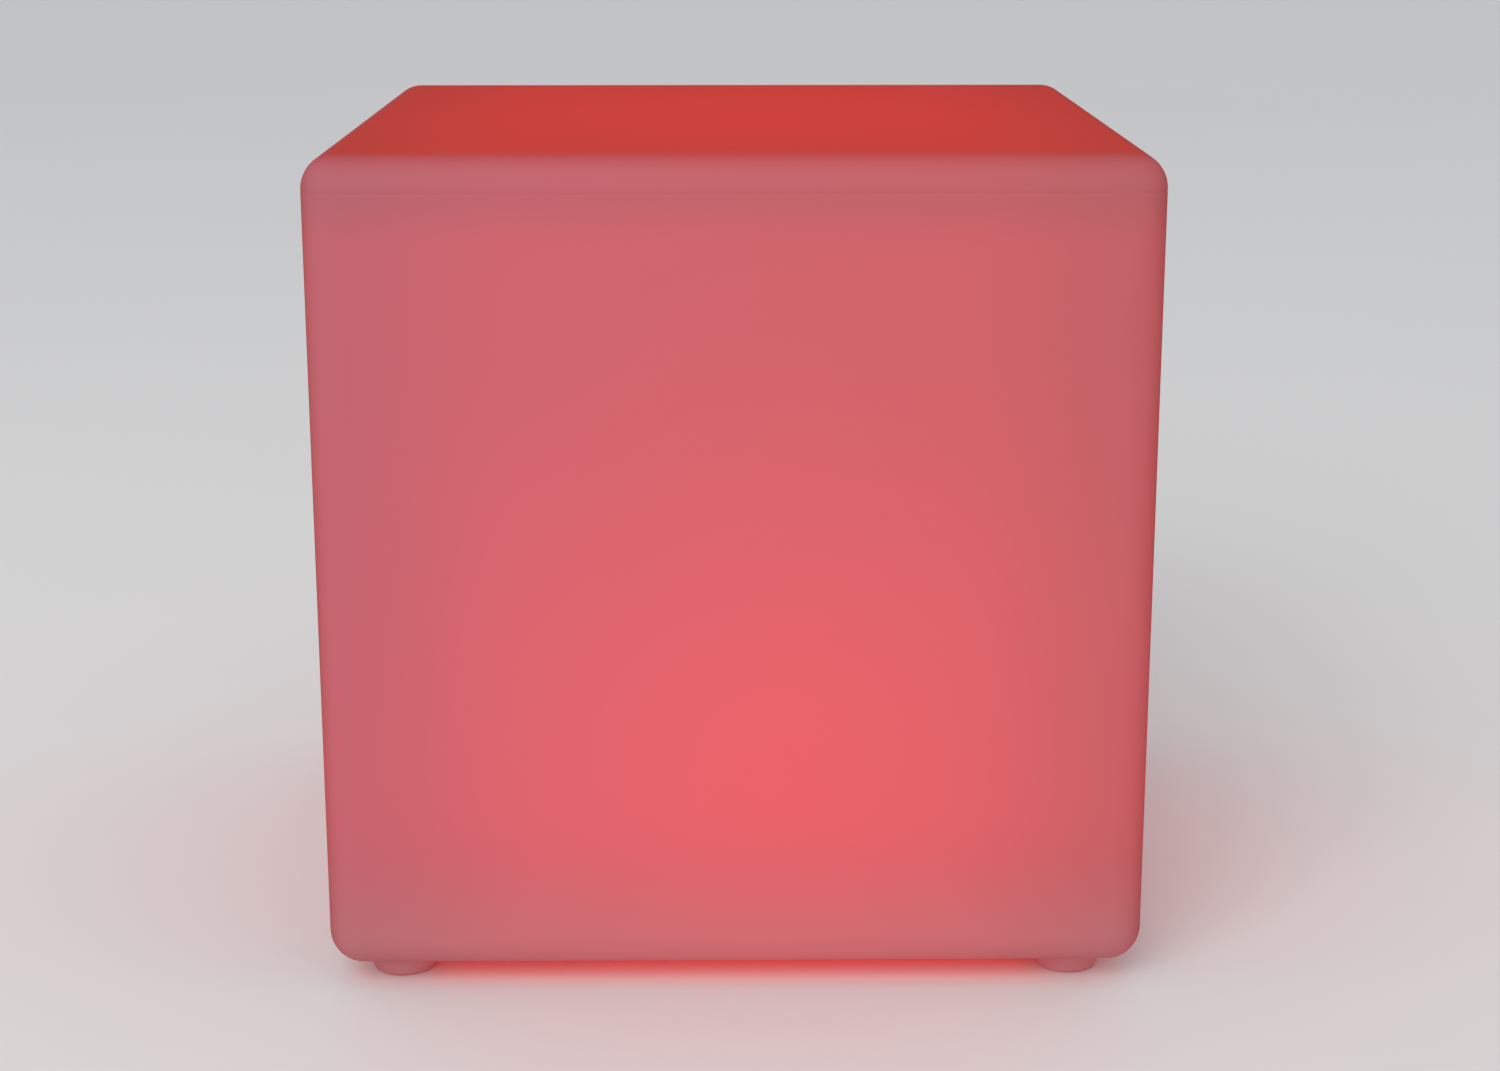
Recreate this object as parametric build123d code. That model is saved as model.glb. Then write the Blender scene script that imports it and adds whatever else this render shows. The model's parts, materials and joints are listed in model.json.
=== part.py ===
from build123d import *
import os
from math import hypot, radians, sqrt, tan

# A glowing cube light that stands on a table. Millimetres, +Z up, front towards -Y.
# The origin is the middle of the footprint, level with the bottoms of the feet.

# ---- Shell: one hollow moulding on four stub feet
cube_side = 200.0
shell_height = 199.0
edge_radius = 8.5
wall = 3.0
foot_height = 5.2
foot_root_radius = 8.8
foot_tip_radius = 7.8
foot_chamfer = 1.3
foot_inset = 17.0  # centre of a foot to the side faces
cavity_chamfer = 4.0
mould_line_width = 0.6
mould_line_depth = 0.1

# ---- Seat in the shell's underside, and the base plate that closes it
flange_sink = 0.4  # face of the plate above the shell's underside
flange_thickness = 3.0
flange_clearance = 0.5
flange_chamfer = 0.6
seat_width = 11.6
seat_lip_chamfer = 0.8
gasket_thickness = 1.0
gasket_margin = 1.0
opening_clearance = 0.9
insert_radius = 3.2  # across the corners of its hexagon
insert_waist_depth = 0.6
insert_cover = 2.0  # plastic round a threaded insert
base_screw_count = 4

# ---- Screws
screw_radius = 1.5
screw_head_radius = 2.8
screw_head_height = 1.8
small_screw_radius = 1.25
small_head_radius = 2.2
small_head_height = 1.4
head_sink = 0.2
head_clearance = 0.3
hole_clearance = 0.2
thread_clearance = 0.05
tip_clearance = 1.0
slot_width = 0.8
slot_depth = 1.0
base_screw_length = 8.0
cup_screw_length = 10.0
battery_screw_length = 16.0
small_screw_length = 5.0

# ---- Power button: cap, stem, seal ring and clip
button_x = -16.0
cap_radius = 7.0
cap_thickness = 2.2
cap_chamfer = 0.7
cap_dish_radius = 5.0
cap_dish_depth = 0.4
cap_clearance = 0.25
button_proud = 0.6
button_travel = 0.8
button_margin = 0.2
stem_radius = 2.5
stem_clearance = 0.08
guide_length = 3.0
guide_wall = 1.8
seal_section = 1.2  # height and width of the seal ring
seal_gap = 0.04  # seal ring to the guide's bore
clip_thickness = 0.6
clip_radius = 4.0
clip_groove_depth = 0.5
clip_gap = 0.05
stem_tip = 0.55
plunger_radius = 1.75
plunger_free = 1.3
plunger_clearance = 0.06
switch_side = 6.0
switch_height = 2.8

# ---- Charging port: recess, socket and rubber cover
port_x = 16.0
port_width = 7.6
port_length = 13.4
port_rounding = 2.0
housing_wall = 1.4
charge_socket_width = 3.26
charge_socket_length = 8.94
charge_socket_height = 6.5
charge_socket_wall = 0.35
charge_socket_clearance = 0.15
tongue_thickness = 0.7
tongue_length = 6.6
tongue_reach = 5.0
cover_thickness = 1.4
cover_margin = 1.7
cover_gap = 0.1
rim_wall = 1.0
rim_height = 1.2
rim_clearance = 0.35
tab_length = 3.2
strap_width = 6.0
strap_thickness = 1.0
hinge_offset = 6.0  # edge of the recess to the strap's bend
hinge_gap = 0.25
anchor_offset = 5.2
anchor_radius = 3.4
anchor_stem_radius = 1.5
anchor_head_radius = 2.5
anchor_head_height = 1.4
anchor_clearance = 0.05

# ---- Light pipe for the charge light
pipe_radius = 1.5
pipe_collar_height = 4.0
pipe_clearance = 0.05
pipe_gap = 0.3
status_led_side = 1.6
status_led_height = 0.8

# ---- Control board and what sits on it
board_length = 62.0
board_width = 47.0
board_thickness = 1.6
board_hole_inset = 3.6
standoff_radius = 2.8
connector_height = 4.8
connector_depth = 4.2
connector_pitch = 2.0
connector_end = 1.0
chip_chamfer = 0.3
controller_chip_size = (10.0, 6.2, 1.8)
controller_chip_x = 6.0
charge_chip_size = (5.0, 6.2, 1.6)
charge_chip_x = -8.0
coil_size = (7.0, 7.0, 3.2)
coil_inset = 12.0
capacitor_size = (7.2, 4.2, 2.8)
capacitor_inset = 11.0
capacitor_spacing = 13.0
board_rest_side = 4.0
stack_gap = 0.7  # air between one layer of the stack and the next

# ---- Battery: two cells side by side along X
cell_radius = 9.2
cell_length = 65.2
cell_gap = 0.6
cell_cap_radius = 3.4
cell_cap_height = 1.2
cradle_clearance = 0.1
trough_wall = 1.6
end_clearance = 0.5
tab_thickness = 0.3
tab_width = 7.0
lead_slot = 7.0  # open band between the tray's rim and the clamp's rim
clamp_length = 40.0
post_x = 14.0
post_radius = 3.0
post_gap = 1.2
ear_thickness = 2.0
gusset_thickness = 1.4
gusset_height = 9.0

# ---- Leads
battery_lead_radius = 0.65
battery_lead_sides = 6
lead_clearance = 0.3
ribbon_width = 7.6
ribbon_thickness = 0.9
ribbon_bow = 4.5
ribbon_straight = 3.0

# ---- Light unit
cup_wall = 2.0
cup_clearance = 1.0
cup_screw_count = 2
cup_boss_radius = 3.5
cup_boss_sink = 0.5
lug_count = 4
lug_length = 5.0
lug_thickness = 1.6
lug_height = 5.0
locating_clearance = 0.15
deck_thickness = 2.0
led_board_radius = 36.0
led_board_thickness = 1.6
led_side = 5.0
led_height = 1.6
outer_led_radius = 24.0
outer_led_count = 8
inner_led_radius = 10.0
inner_led_count = 4
header_length = 10.0
header_width = 4.6
header_height = 5.0
header_clearance = 0.5
dome_wall = 1.8
dome_clearance = 0.3  # round the light board's edge
dome_overlap = 1.2  # over the light board's edge, to hold it down
dome_height = 19.0
dome_chamfer = 3.0
clip_count = 3
clip_leg_thickness = 1.2
clip_leg_width = 6.0
clip_hook = 0.8
clip_hook_height = 1.2
clip_play = 0.05
clip_slot_clearance = 0.15

# ---- Heights, worked out from the feet upwards
shell_bottom = foot_height
shell_top = shell_bottom + shell_height
plate_bottom = shell_bottom + flange_sink
plate_top = plate_bottom + flange_thickness
seat_z = plate_top + gasket_thickness
head_seat_z = plate_bottom + head_sink + screw_head_height
insert_top = head_seat_z + base_screw_length + tip_clearance
cup_bore_top = head_seat_z + cup_screw_length + tip_clearance

cap_bottom = plate_bottom - button_proud
cap_top = cap_bottom + cap_thickness
button_ceiling = cap_top + button_travel + button_margin
guide_top = button_ceiling + guide_length
seal_bottom = button_ceiling + button_margin
seal_top = seal_bottom + seal_section
clip_bottom = guide_top + clip_gap
clip_top = clip_bottom + clip_thickness
stem_top = clip_top + stem_tip
switch_bottom = stem_top + plunger_free
board_bottom = switch_bottom + switch_height
board_top = board_bottom + board_thickness
connector_top = board_top + connector_height
port_ceiling = board_bottom - charge_socket_height

trough_radius = cell_radius + cradle_clearance
trough_outer = trough_radius + trough_wall
cell_z = connector_top + stack_gap + trough_outer
tray_rim = cell_z - lead_slot / 2
post_top = tray_rim - ear_thickness
clamp_rim = cell_z + lead_slot / 2
clamp_ear_top = clamp_rim + ear_thickness
battery_pilot_bottom = clamp_ear_top - battery_screw_length - tip_clearance
deck_bottom = cell_z + trough_outer + stack_gap
deck_top = deck_bottom + deck_thickness
header_bottom = deck_top - header_height
led_board_top = deck_top + led_board_thickness

# ---- Widths, worked out from the battery outwards
cell_y = cell_radius + cell_gap / 2
cell_end = cell_length / 2
trough_end = cell_end + tab_thickness + end_clearance
tray_end = trough_end + trough_wall
tray_side = cell_y + trough_outer
lead_y = tray_side + lead_clearance + battery_lead_radius
lug_y = lead_y + 2 * battery_lead_radius
board_half_width = max(board_width / 2, lead_y + connector_depth / 2)
ear_radius = post_radius + hole_clearance
post_y = max(tray_side, board_half_width) + post_gap + post_radius
standoff_x = board_length / 2 - board_hole_inset
standoff_y = board_half_width - board_hole_inset

tray_corner = hypot(tray_end, tray_side)
tab_corner = hypot(cell_end + tab_thickness, lug_y)
board_corner = hypot(board_length / 2, board_half_width)
cup_inner_radius = max(tray_corner, tab_corner, board_corner, led_board_radius) + cup_clearance
cup_outer_radius = cup_inner_radius + cup_wall
cup_boss_circle = cup_inner_radius - cup_boss_radius + cup_boss_sink
opening_radius = cup_outer_radius + opening_clearance
flange_radius = opening_radius + seat_width
recess_radius = flange_radius + flange_clearance
base_screw_circle = opening_radius + seat_width / 2
capacitor_x = board_length / 2 - capacitor_inset
coil_x = coil_inset - board_length / 2
dome_inner_radius = led_board_radius - dome_overlap
dome_seat_radius = led_board_radius + dome_clearance
dome_outer_radius = dome_seat_radius + dome_wall
hinge_x = port_x + port_width / 2 + hinge_offset
anchor_x = hinge_x + anchor_offset
cover_top = plate_bottom - cover_gap
cover_bottom = cover_top - cover_thickness
hinge_z = (cover_top + cover_bottom) / 2
strap_bottom = hinge_z - strap_thickness / 2
strap_top = hinge_z + strap_thickness / 2

foot_places = GridLocations(cube_side - 2 * foot_inset, cube_side - 2 * foot_inset, 2, 2)
base_screw_places = PolarLocations(base_screw_circle, base_screw_count, start_angle=45)
cup_screw_places = PolarLocations(cup_boss_circle, cup_screw_count, start_angle=90)
board_screw_places = [Pos(standoff_x, -standoff_y), Pos(-standoff_x, standoff_y)]
board_rest_places = [Pos(standoff_x, standoff_y), Pos(-standoff_x, -standoff_y)]
post_places = [Pos(post_x, post_y), Pos(-post_x, -post_y)]


# ---- Shapes used again and again
def rod(radius, bottom, top, x=0.0, y=0.0):
    """Upright cylinder between two heights."""
    return Pos(x, y, bottom) * Cylinder(radius, top - bottom, align=(Align.CENTER, Align.CENTER, Align.MIN))


def tube(outer, inner, bottom, top, x=0.0, y=0.0):
    """Upright tube between two heights."""
    return rod(outer, bottom, top, x, y) - rod(inner, bottom, top, x, y)


def block(length, width, bottom, top, x=0.0, y=0.0):
    """Upright box between two heights, centred on x and y."""
    align = (Align.CENTER, Align.CENTER, Align.MIN)
    return Pos(x, y, bottom) * Box(length, width, top - bottom, align=align)


def pad(length, width, corner, bottom, top, x=0.0, y=0.0):
    """Flat plate with rounded corners between two heights."""
    return Pos(x, y, bottom) * extrude(RectangleRounded(length, width, corner), top - bottom)


def hexagon(radius, bottom, top):
    """Upright hexagonal bar between two heights."""
    return Pos(0, 0, bottom) * extrude(RegularPolygon(radius, 6), top - bottom)


def turned(points):
    """Body of revolution about Z from a closed outline of (radius, height) points."""
    return revolve(make_face(Plane.XZ * Polyline(*points, close=True)), Axis.Z)


def at_each(places, solid):
    """One copy of the solid at each place."""
    return [place * solid for place in places]


def group(solids):
    """Separate solids that share one node."""
    return Compound(children=list(solids))


def screw(length, slotted=False):
    """Screw with its head up and its bearing face at the origin."""
    body = rod(screw_radius, -length, 0) + rod(screw_head_radius, 0, screw_head_height)
    if slotted:
        slot = block(screw_head_radius, slot_width, screw_head_height - slot_depth, screw_head_height)
        body = body - slot - Rot(0, 0, 90) * slot
    return body


def small_screws(places, bearing_z):
    """Small screws, heads up, with their bearing faces at one height."""
    one = rod(small_screw_radius, -small_screw_length, 0) + rod(small_head_radius, 0, small_head_height)
    return group(at_each(places, Pos(0, 0, bearing_z) * one))


def screws_from_below(places, length):
    """Cross-slotted screws put in through the base plate's counterbores."""
    return group(at_each(places, Pos(0, 0, head_seat_z) * Rot(180, 0, 0) * screw(length, slotted=True)))


def tangent_route(name, points):
    """Route of straight runs joined by the largest tangent arcs that its runs allow."""
    spots = [Vector(*point) for point in points]
    radii = []
    for before, corner, after in zip(spots, spots[1:], spots[2:]):
        arriving = corner - before
        leaving = after - corner
        half_turn = radians(arriving.get_angle(leaving)) / 2
        radii.append(0.45 * min(arriving.length, leaving.length) / tan(half_turn))
    route = FilletPolyline(*points, radius=radii)
    print(name, "bend radii", [round(radius, 2) for radius in radii], "length", round(route.length, 1))
    return route


# ---- Shell
def foot():
    """Blunt stub foot: a cone whose tip is chamfered, sunk a little into the shell."""
    outline = [
        (0, 0),
        (foot_tip_radius - foot_chamfer, 0),
        (foot_tip_radius, foot_chamfer),
        (foot_root_radius, foot_height),
        (foot_root_radius, foot_height + wall / 2),
        (0, foot_height + wall / 2),
    ]
    return turned(outline)


def shell():
    """Hollow rounded cube with feet, a recessed seat in its underside and bosses for the inserts."""
    body = block(cube_side, cube_side, shell_bottom, shell_top)
    body = fillet(body.edges(), edge_radius)
    body += at_each(foot_places, foot())

    inner_side = cube_side - 2 * wall
    cavity = block(inner_side, inner_side, shell_bottom + wall, shell_top - wall)
    cavity = chamfer(cavity.edges(), cavity_chamfer)
    cavity -= rod(recess_radius + wall, shell_bottom, seat_z + wall)
    boss = rod(insert_radius + insert_cover, seat_z, insert_top + insert_cover)
    cavity -= at_each(base_screw_places, boss)

    lip_radius = recess_radius + seat_lip_chamfer
    recess = rod(recess_radius, shell_bottom, seat_z)
    recess += Pos(0, 0, shell_bottom + seat_lip_chamfer / 2) * Cone(lip_radius, recess_radius, seat_lip_chamfer)
    opening = rod(opening_radius, seat_z, seat_z + wall)
    body = body - cavity - recess - opening
    return body - at_each(base_screw_places, insert_blank()) - mould_line()


def mould_line():
    """Fine groove round the side walls, where the top rounding starts."""
    inner_side = cube_side - 2 * mould_line_depth
    band = Rectangle(cube_side + wall, cube_side + wall)
    band -= RectangleRounded(inner_side, inner_side, edge_radius - mould_line_depth)
    return Pos(0, 0, shell_top - edge_radius - mould_line_width) * extrude(band, mould_line_width)


def insert_blank():
    """Threaded insert before it is bored: a hexagonal bar with a waist that locks it in the moulding."""
    collar = (insert_top - seat_z) / 3
    waist = hexagon(insert_radius - insert_waist_depth, seat_z, insert_top)
    waist += hexagon(insert_radius, seat_z, seat_z + collar)
    return waist + hexagon(insert_radius, insert_top - collar, insert_top)


def threaded_inserts():
    bore = rod(screw_radius + thread_clearance, seat_z, insert_top)
    return group(at_each(base_screw_places, insert_blank() - bore))


def base_gasket():
    """Flat ring with a hole for each base screw."""
    ring = tube(flange_radius - gasket_margin, opening_radius + gasket_margin, plate_top, seat_z)
    return ring - at_each(base_screw_places, rod(screw_radius + hole_clearance, plate_top, seat_z))


# ---- Base plate
def base_plate():
    """Moulded plate: flange, locating lugs, button guide, port housing, board supports and battery posts."""
    plate = rod(flange_radius, plate_bottom, plate_top)
    plate = chamfer(plate.edges().sort_by(Axis.Z)[0], flange_chamfer)
    plate += locating_lugs()
    plate += battery_posts()
    plate += at_each(board_screw_places, rod(standoff_radius, plate_top, board_bottom))
    plate += at_each(board_rest_places, block(board_rest_side, board_rest_side, plate_top, board_bottom))
    plate += rod(cap_radius + cap_clearance + housing_wall, plate_top, button_ceiling + housing_wall, button_x)
    plate += rod(stem_radius + stem_clearance + guide_wall, button_ceiling, guide_top, button_x)
    plate += rod(pipe_radius + pipe_clearance + housing_wall, plate_top, plate_top + pipe_collar_height)
    plate += port_housing()

    plate -= port_recess()
    plate -= rod(cap_radius + cap_clearance, plate_bottom, button_ceiling, button_x)
    plate -= rod(stem_radius + stem_clearance, button_ceiling, guide_top, button_x)
    plate -= rod(pipe_radius + pipe_clearance, plate_bottom, plate_top + pipe_collar_height)
    plate -= rod(anchor_stem_radius + anchor_clearance, plate_bottom, plate_top, anchor_x)
    plate -= at_each(base_screw_places, screw_passage())
    plate -= at_each(cup_screw_places, screw_passage())
    board_pilot = rod(small_screw_radius + thread_clearance, board_bottom - small_screw_length, board_bottom)
    plate -= at_each(board_screw_places, board_pilot)
    post_pilot = rod(screw_radius + thread_clearance, battery_pilot_bottom, post_top)
    return plate - at_each(post_places, post_pilot)


def screw_passage():
    """Counterbored hole for a screw put in from below."""
    counterbore = rod(screw_head_radius + head_clearance, plate_bottom, head_seat_z)
    return counterbore + rod(screw_radius + hole_clearance, plate_bottom, plate_top)


def locating_lugs():
    """Upright ribs whose outer ends centre the cup."""
    end_radius = cup_inner_radius - locating_clearance
    reach = sqrt(end_radius**2 - (lug_thickness / 2) ** 2)
    lug = block(lug_length, lug_thickness, plate_top, plate_top + lug_height)
    return at_each(PolarLocations(reach - lug_length / 2, lug_count, start_angle=180 / lug_count), lug)


def battery_posts():
    """Two posts for the battery tray, each with a sloping gusset along X."""
    foot_half = 2 * post_radius
    top = plate_top + gusset_height
    outline = [(-foot_half, plate_top), (foot_half, plate_top), (post_radius, top), (-post_radius, top)]
    face = make_face(Plane.XZ * Polyline(*outline, close=True))
    gusset = extrude(face, gusset_thickness / 2, both=True)
    return at_each(post_places, rod(post_radius, plate_top, post_top) + gusset)


def port_housing():
    """Walls and roof that stand on the plate round the port's recess."""
    length = port_width + 2 * housing_wall
    width = port_length + 2 * housing_wall
    return pad(length, width, port_rounding + housing_wall, plate_top, port_ceiling + housing_wall, port_x)


def charge_socket_form(margin, bottom, top):
    """Round-ended bar in the outline of the charging socket, larger by a margin all round."""
    outline = SlotOverall(charge_socket_length + 2 * margin, charge_socket_width + 2 * margin, rotation=90)
    return Pos(port_x, 0, bottom) * extrude(outline, top - bottom)


def port_recess():
    """Recess for a plug's grip, with the socket's slot in its roof."""
    recess = pad(port_width, port_length, port_rounding, plate_bottom, port_ceiling, port_x)
    return recess + charge_socket_form(charge_socket_clearance, port_ceiling, port_ceiling + housing_wall)


def light_pipe():
    """Clear rod from the plate's face up to just under the charge light."""
    return rod(pipe_radius, plate_bottom, board_bottom - status_led_height - pipe_gap)


# ---- Power button
def power_button():
    """Dished cap on a stem with grooves for the seal ring and the clip."""
    cap = rod(cap_radius, cap_bottom, cap_top)
    cap = chamfer(cap.edges().sort_by(Axis.Z)[0], cap_chamfer)
    cap -= rod(cap_dish_radius, cap_bottom, cap_bottom + cap_dish_depth)
    button = cap + rod(stem_radius, cap_top, stem_top)
    button -= tube(cap_radius, stem_radius - seal_section, seal_bottom, seal_top)
    button -= tube(cap_radius, stem_radius - clip_groove_depth, clip_bottom, clip_top)
    return Pos(button_x, 0, 0) * button


def button_seal():
    """Square-section ring in the stem's groove, just clear of the guide's bore."""
    return tube(stem_radius + stem_clearance - seal_gap, stem_radius - seal_section, seal_bottom, seal_top, button_x)


def button_clip():
    """Open clip that snaps on the stem above the guide."""
    mouth = stem_radius - clip_groove_depth
    ring = tube(clip_radius, mouth, clip_bottom, clip_top)
    ring -= block(clip_radius, 2 * mouth, clip_bottom, clip_top, clip_radius / 2)
    return Pos(button_x, 0, 0) * ring


def switch_plunger():
    return rod(plunger_radius, stem_top, switch_bottom + button_travel, button_x)


def tact_switch():
    """Square switch body with a round mouth that its plunger slides in."""
    body = block(switch_side, switch_side, switch_bottom, board_bottom, button_x)
    mouth_top = switch_bottom + 2 * button_travel + button_margin
    return body - rod(plunger_radius + plunger_clearance, switch_bottom, mouth_top, button_x)


# ---- Charging port
def charge_socket():
    """Drawn steel socket, open downwards and closed at the board."""
    inside = charge_socket_form(-charge_socket_wall, port_ceiling, board_bottom - charge_socket_wall)
    return charge_socket_form(0, port_ceiling, board_bottom) - inside


def charge_socket_tongue():
    root = board_bottom - charge_socket_wall
    return block(tongue_thickness, tongue_length, root - tongue_reach, root, port_x)


def port_cover():
    """Rubber flap with a rim that fits the recess, a pull tab and the strap up to its bend."""
    length = port_width + 2 * cover_margin
    width = port_length + 2 * cover_margin
    flap = pad(length, width, port_rounding + cover_margin, cover_bottom, cover_top, port_x)
    tab_end = port_x - length / 2 - tab_length
    flap += block(tab_length + cover_margin, strap_width, cover_bottom, cover_top, tab_end + tab_length)
    rim_length = port_width - 2 * rim_clearance
    rim_width = port_length - 2 * rim_clearance
    rim_corner = port_rounding - rim_clearance
    rim_top = plate_bottom + rim_height
    flap += pad(rim_length, rim_width, rim_corner, cover_top, rim_top, port_x)
    flap -= block(rim_length - 2 * rim_wall, rim_width - 2 * rim_wall, cover_top, rim_top, port_x)
    strap_start = port_x + port_width / 2
    strap = block(hinge_x - strap_start, strap_width, strap_bottom, strap_top, (strap_start + hinge_x) / 2)
    return flap + strap + Pos(hinge_x, 0, hinge_z) * Rot(90, 0, 0) * Cylinder(strap_thickness / 2, strap_width)


def port_cover_anchor():
    """Fixed end of the strap: a disc under the plate and a stem with a barbed head above it."""
    start = hinge_x + strap_thickness / 2 + hinge_gap
    strap = block(anchor_x - start, strap_width, strap_bottom, strap_top, (start + anchor_x) / 2)
    outline = [
        (0, strap_bottom),
        (anchor_radius, strap_bottom),
        (anchor_radius, plate_bottom),
        (anchor_stem_radius, plate_bottom),
        (anchor_stem_radius, plate_top),
        (anchor_head_radius, plate_top),
        (anchor_stem_radius, plate_top + anchor_head_height),
        (0, plate_top + anchor_head_height),
    ]
    return strap + Pos(anchor_x, 0, 0) * turned(outline)


# ---- Control board
def control_board():
    board = block(board_length, 2 * board_half_width, board_bottom, board_top)
    return board - at_each(board_screw_places, rod(small_screw_radius + hole_clearance, board_bottom, board_top))


def status_led():
    return block(status_led_side, status_led_side, board_bottom - status_led_height, board_bottom)


def chip(size, x):
    """Flat package on the board, its upper edges chamfered."""
    length, width, height = size
    body = block(length, width, board_top, board_top + height, x)
    return chamfer(body.edges().group_by(Axis.Z)[-1], chip_chamfer)


def capacitors():
    """Two moulded chip capacitors."""
    return group(at_each(GridLocations(0, capacitor_spacing, 1, 2), chip(capacitor_size, capacitor_x)))


def connector(ways, y):
    """Upright wire connector on the board, with its mouth at the top."""
    length = ways * connector_pitch + 2 * connector_end
    body = block(length, connector_depth, board_top, connector_top, 0, y)
    return chamfer(body.edges().filter_by(Axis.Z), connector_end / 2)


# ---- Battery
def lying_cylinders(radius, half_length):
    """Two cylinders along X, one on the axis of each cell."""
    one = Pos(0, 0, cell_z) * Rot(0, 90, 0) * Cylinder(radius, 2 * half_length)
    return Pos(0, cell_y, 0) * one + Pos(0, -cell_y, 0) * one


def ears(bottom, top):
    """Ears from the trough's sides out to the posts."""
    root_y = cell_y + trough_radius / 2
    arm = block(2 * ear_radius, post_y - root_y, bottom, top, 0, (root_y - post_y) / 2)
    ear = arm + rod(ear_radius, bottom, top)
    return [post_places[0] * ear, post_places[1] * Rot(0, 0, 180) * ear]


def battery_tray():
    """Double trough with end walls and two ears that stand on the posts."""
    below = block(2 * tray_end, 2 * tray_side, cell_z - trough_outer, tray_rim)
    tray = lying_cylinders(trough_outer, tray_end) & below
    tray += ears(post_top, tray_rim)
    tray -= lying_cylinders(trough_radius, trough_end)
    return tray - at_each(post_places, rod(screw_radius + hole_clearance, post_top, tray_rim))


def battery_clamp():
    """Double arch over the cells, with ears on legs that stand on the tray's ears."""
    above = block(clamp_length, 2 * tray_side, clamp_rim, cell_z + trough_outer)
    clamp = lying_cylinders(trough_outer, clamp_length / 2) & above
    clamp += ears(clamp_rim, clamp_ear_top)
    clamp += at_each(post_places, rod(ear_radius, tray_rim, clamp_rim))
    clamp -= lying_cylinders(trough_radius, clamp_length)
    return clamp - at_each(post_places, rod(screw_radius + hole_clearance, tray_rim, clamp_ear_top))


def battery_cell(side):
    """Cell with a raised positive cap at its +X end."""
    can_length = cell_length - cell_cap_height
    cell = rod(cell_radius, 0, can_length) + rod(cell_cap_radius, can_length, cell_length)
    return Pos(-cell_end, side * cell_y, cell_z) * Rot(0, 90, 0) * cell


def cell_tab(end):
    """Strip welded across both cells, with a lug that reaches out to its lead; end is 1 for +X."""
    inner_y = cell_y + tab_width / 2
    middle_x = end * (cell_end + tab_thickness / 2)
    low, high = cell_z - tab_width / 2, cell_z + tab_width / 2
    return block(tab_thickness, inner_y + lug_y, low, high, middle_x, (inner_y - lug_y) / 2)


def battery_lead(name, end):
    """Lead from a tab's lug along the cells, then down into the battery connector."""
    drop_x = end * connector_pitch / 2
    points = [(end * cell_end, -lead_y, cell_z), (drop_x, -lead_y, cell_z), (drop_x, -lead_y, connector_top)]
    route = tangent_route(name, points)
    section = Plane(origin=route @ 0, z_dir=route % 0) * RegularPolygon(battery_lead_radius, battery_lead_sides)
    return sweep(section, path=route)


# ---- Light unit
def deck_slots(length, thickness, places):
    """Rectangular slots through the cup's deck."""
    return at_each(places, block(length, thickness, deck_bottom, deck_top))


def clip_places(radius):
    """Places of the dome's clips, at a radius."""
    return PolarLocations(radius, clip_count, start_angle=60)


def light_cup():
    """Round housing over the battery; its deck carries the light board and the dome."""
    cup = rod(cup_outer_radius, plate_top, deck_top) - rod(cup_inner_radius, plate_top, deck_bottom)
    inside = rod(cup_inner_radius + cup_wall / 2, plate_top, deck_top)
    boss = rod(cup_boss_radius, plate_top, cup_bore_top + cup_wall)
    cup += [solid & inside for solid in at_each(cup_screw_places, boss)]
    cup -= at_each(cup_screw_places, rod(screw_radius + thread_clearance, plate_top, cup_bore_top))
    header_size = (header_length + 2 * header_clearance, header_width + 2 * header_clearance)
    cup -= deck_slots(*header_size, [Pos(0, lead_y)])
    slot_inner = dome_outer_radius - clip_hook - clip_slot_clearance
    slot_outer = dome_outer_radius + clip_leg_thickness + clip_slot_clearance
    slot_width = clip_leg_width + 2 * clip_slot_clearance
    cup -= deck_slots(slot_outer - slot_inner, slot_width, clip_places((slot_inner + slot_outer) / 2))
    return cup


def led_board():
    """Round board, held down by the dome's rim."""
    return rod(led_board_radius, deck_top, led_board_top)


def leds():
    package = block(led_side, led_side, led_board_top, led_board_top + led_height)
    outer = PolarLocations(outer_led_radius, outer_led_count, start_angle=180 / outer_led_count)
    inner = PolarLocations(inner_led_radius, inner_led_count, start_angle=180 / inner_led_count)
    return group(at_each(outer, package) + at_each(inner, package))


def led_header():
    return block(header_length, header_width, header_bottom, deck_top, 0, lead_y)


def led_ribbon():
    """Flat cable with four wires, bowed a little outwards, from the header down to the control board."""
    bow_y = lead_y + ribbon_bow
    points = [
        (0, lead_y, header_bottom),
        (0, lead_y, header_bottom - ribbon_straight),
        (0, bow_y, (header_bottom + connector_top) / 2),
        (0, lead_y, connector_top + ribbon_straight),
        (0, lead_y, connector_top),
    ]
    route = tangent_route("led_ribbon", points)
    section = Plane(origin=route @ 0, x_dir=(1, 0, 0), z_dir=route % 0) * Rectangle(ribbon_width, ribbon_thickness)
    return sweep(section, path=route)


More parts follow.
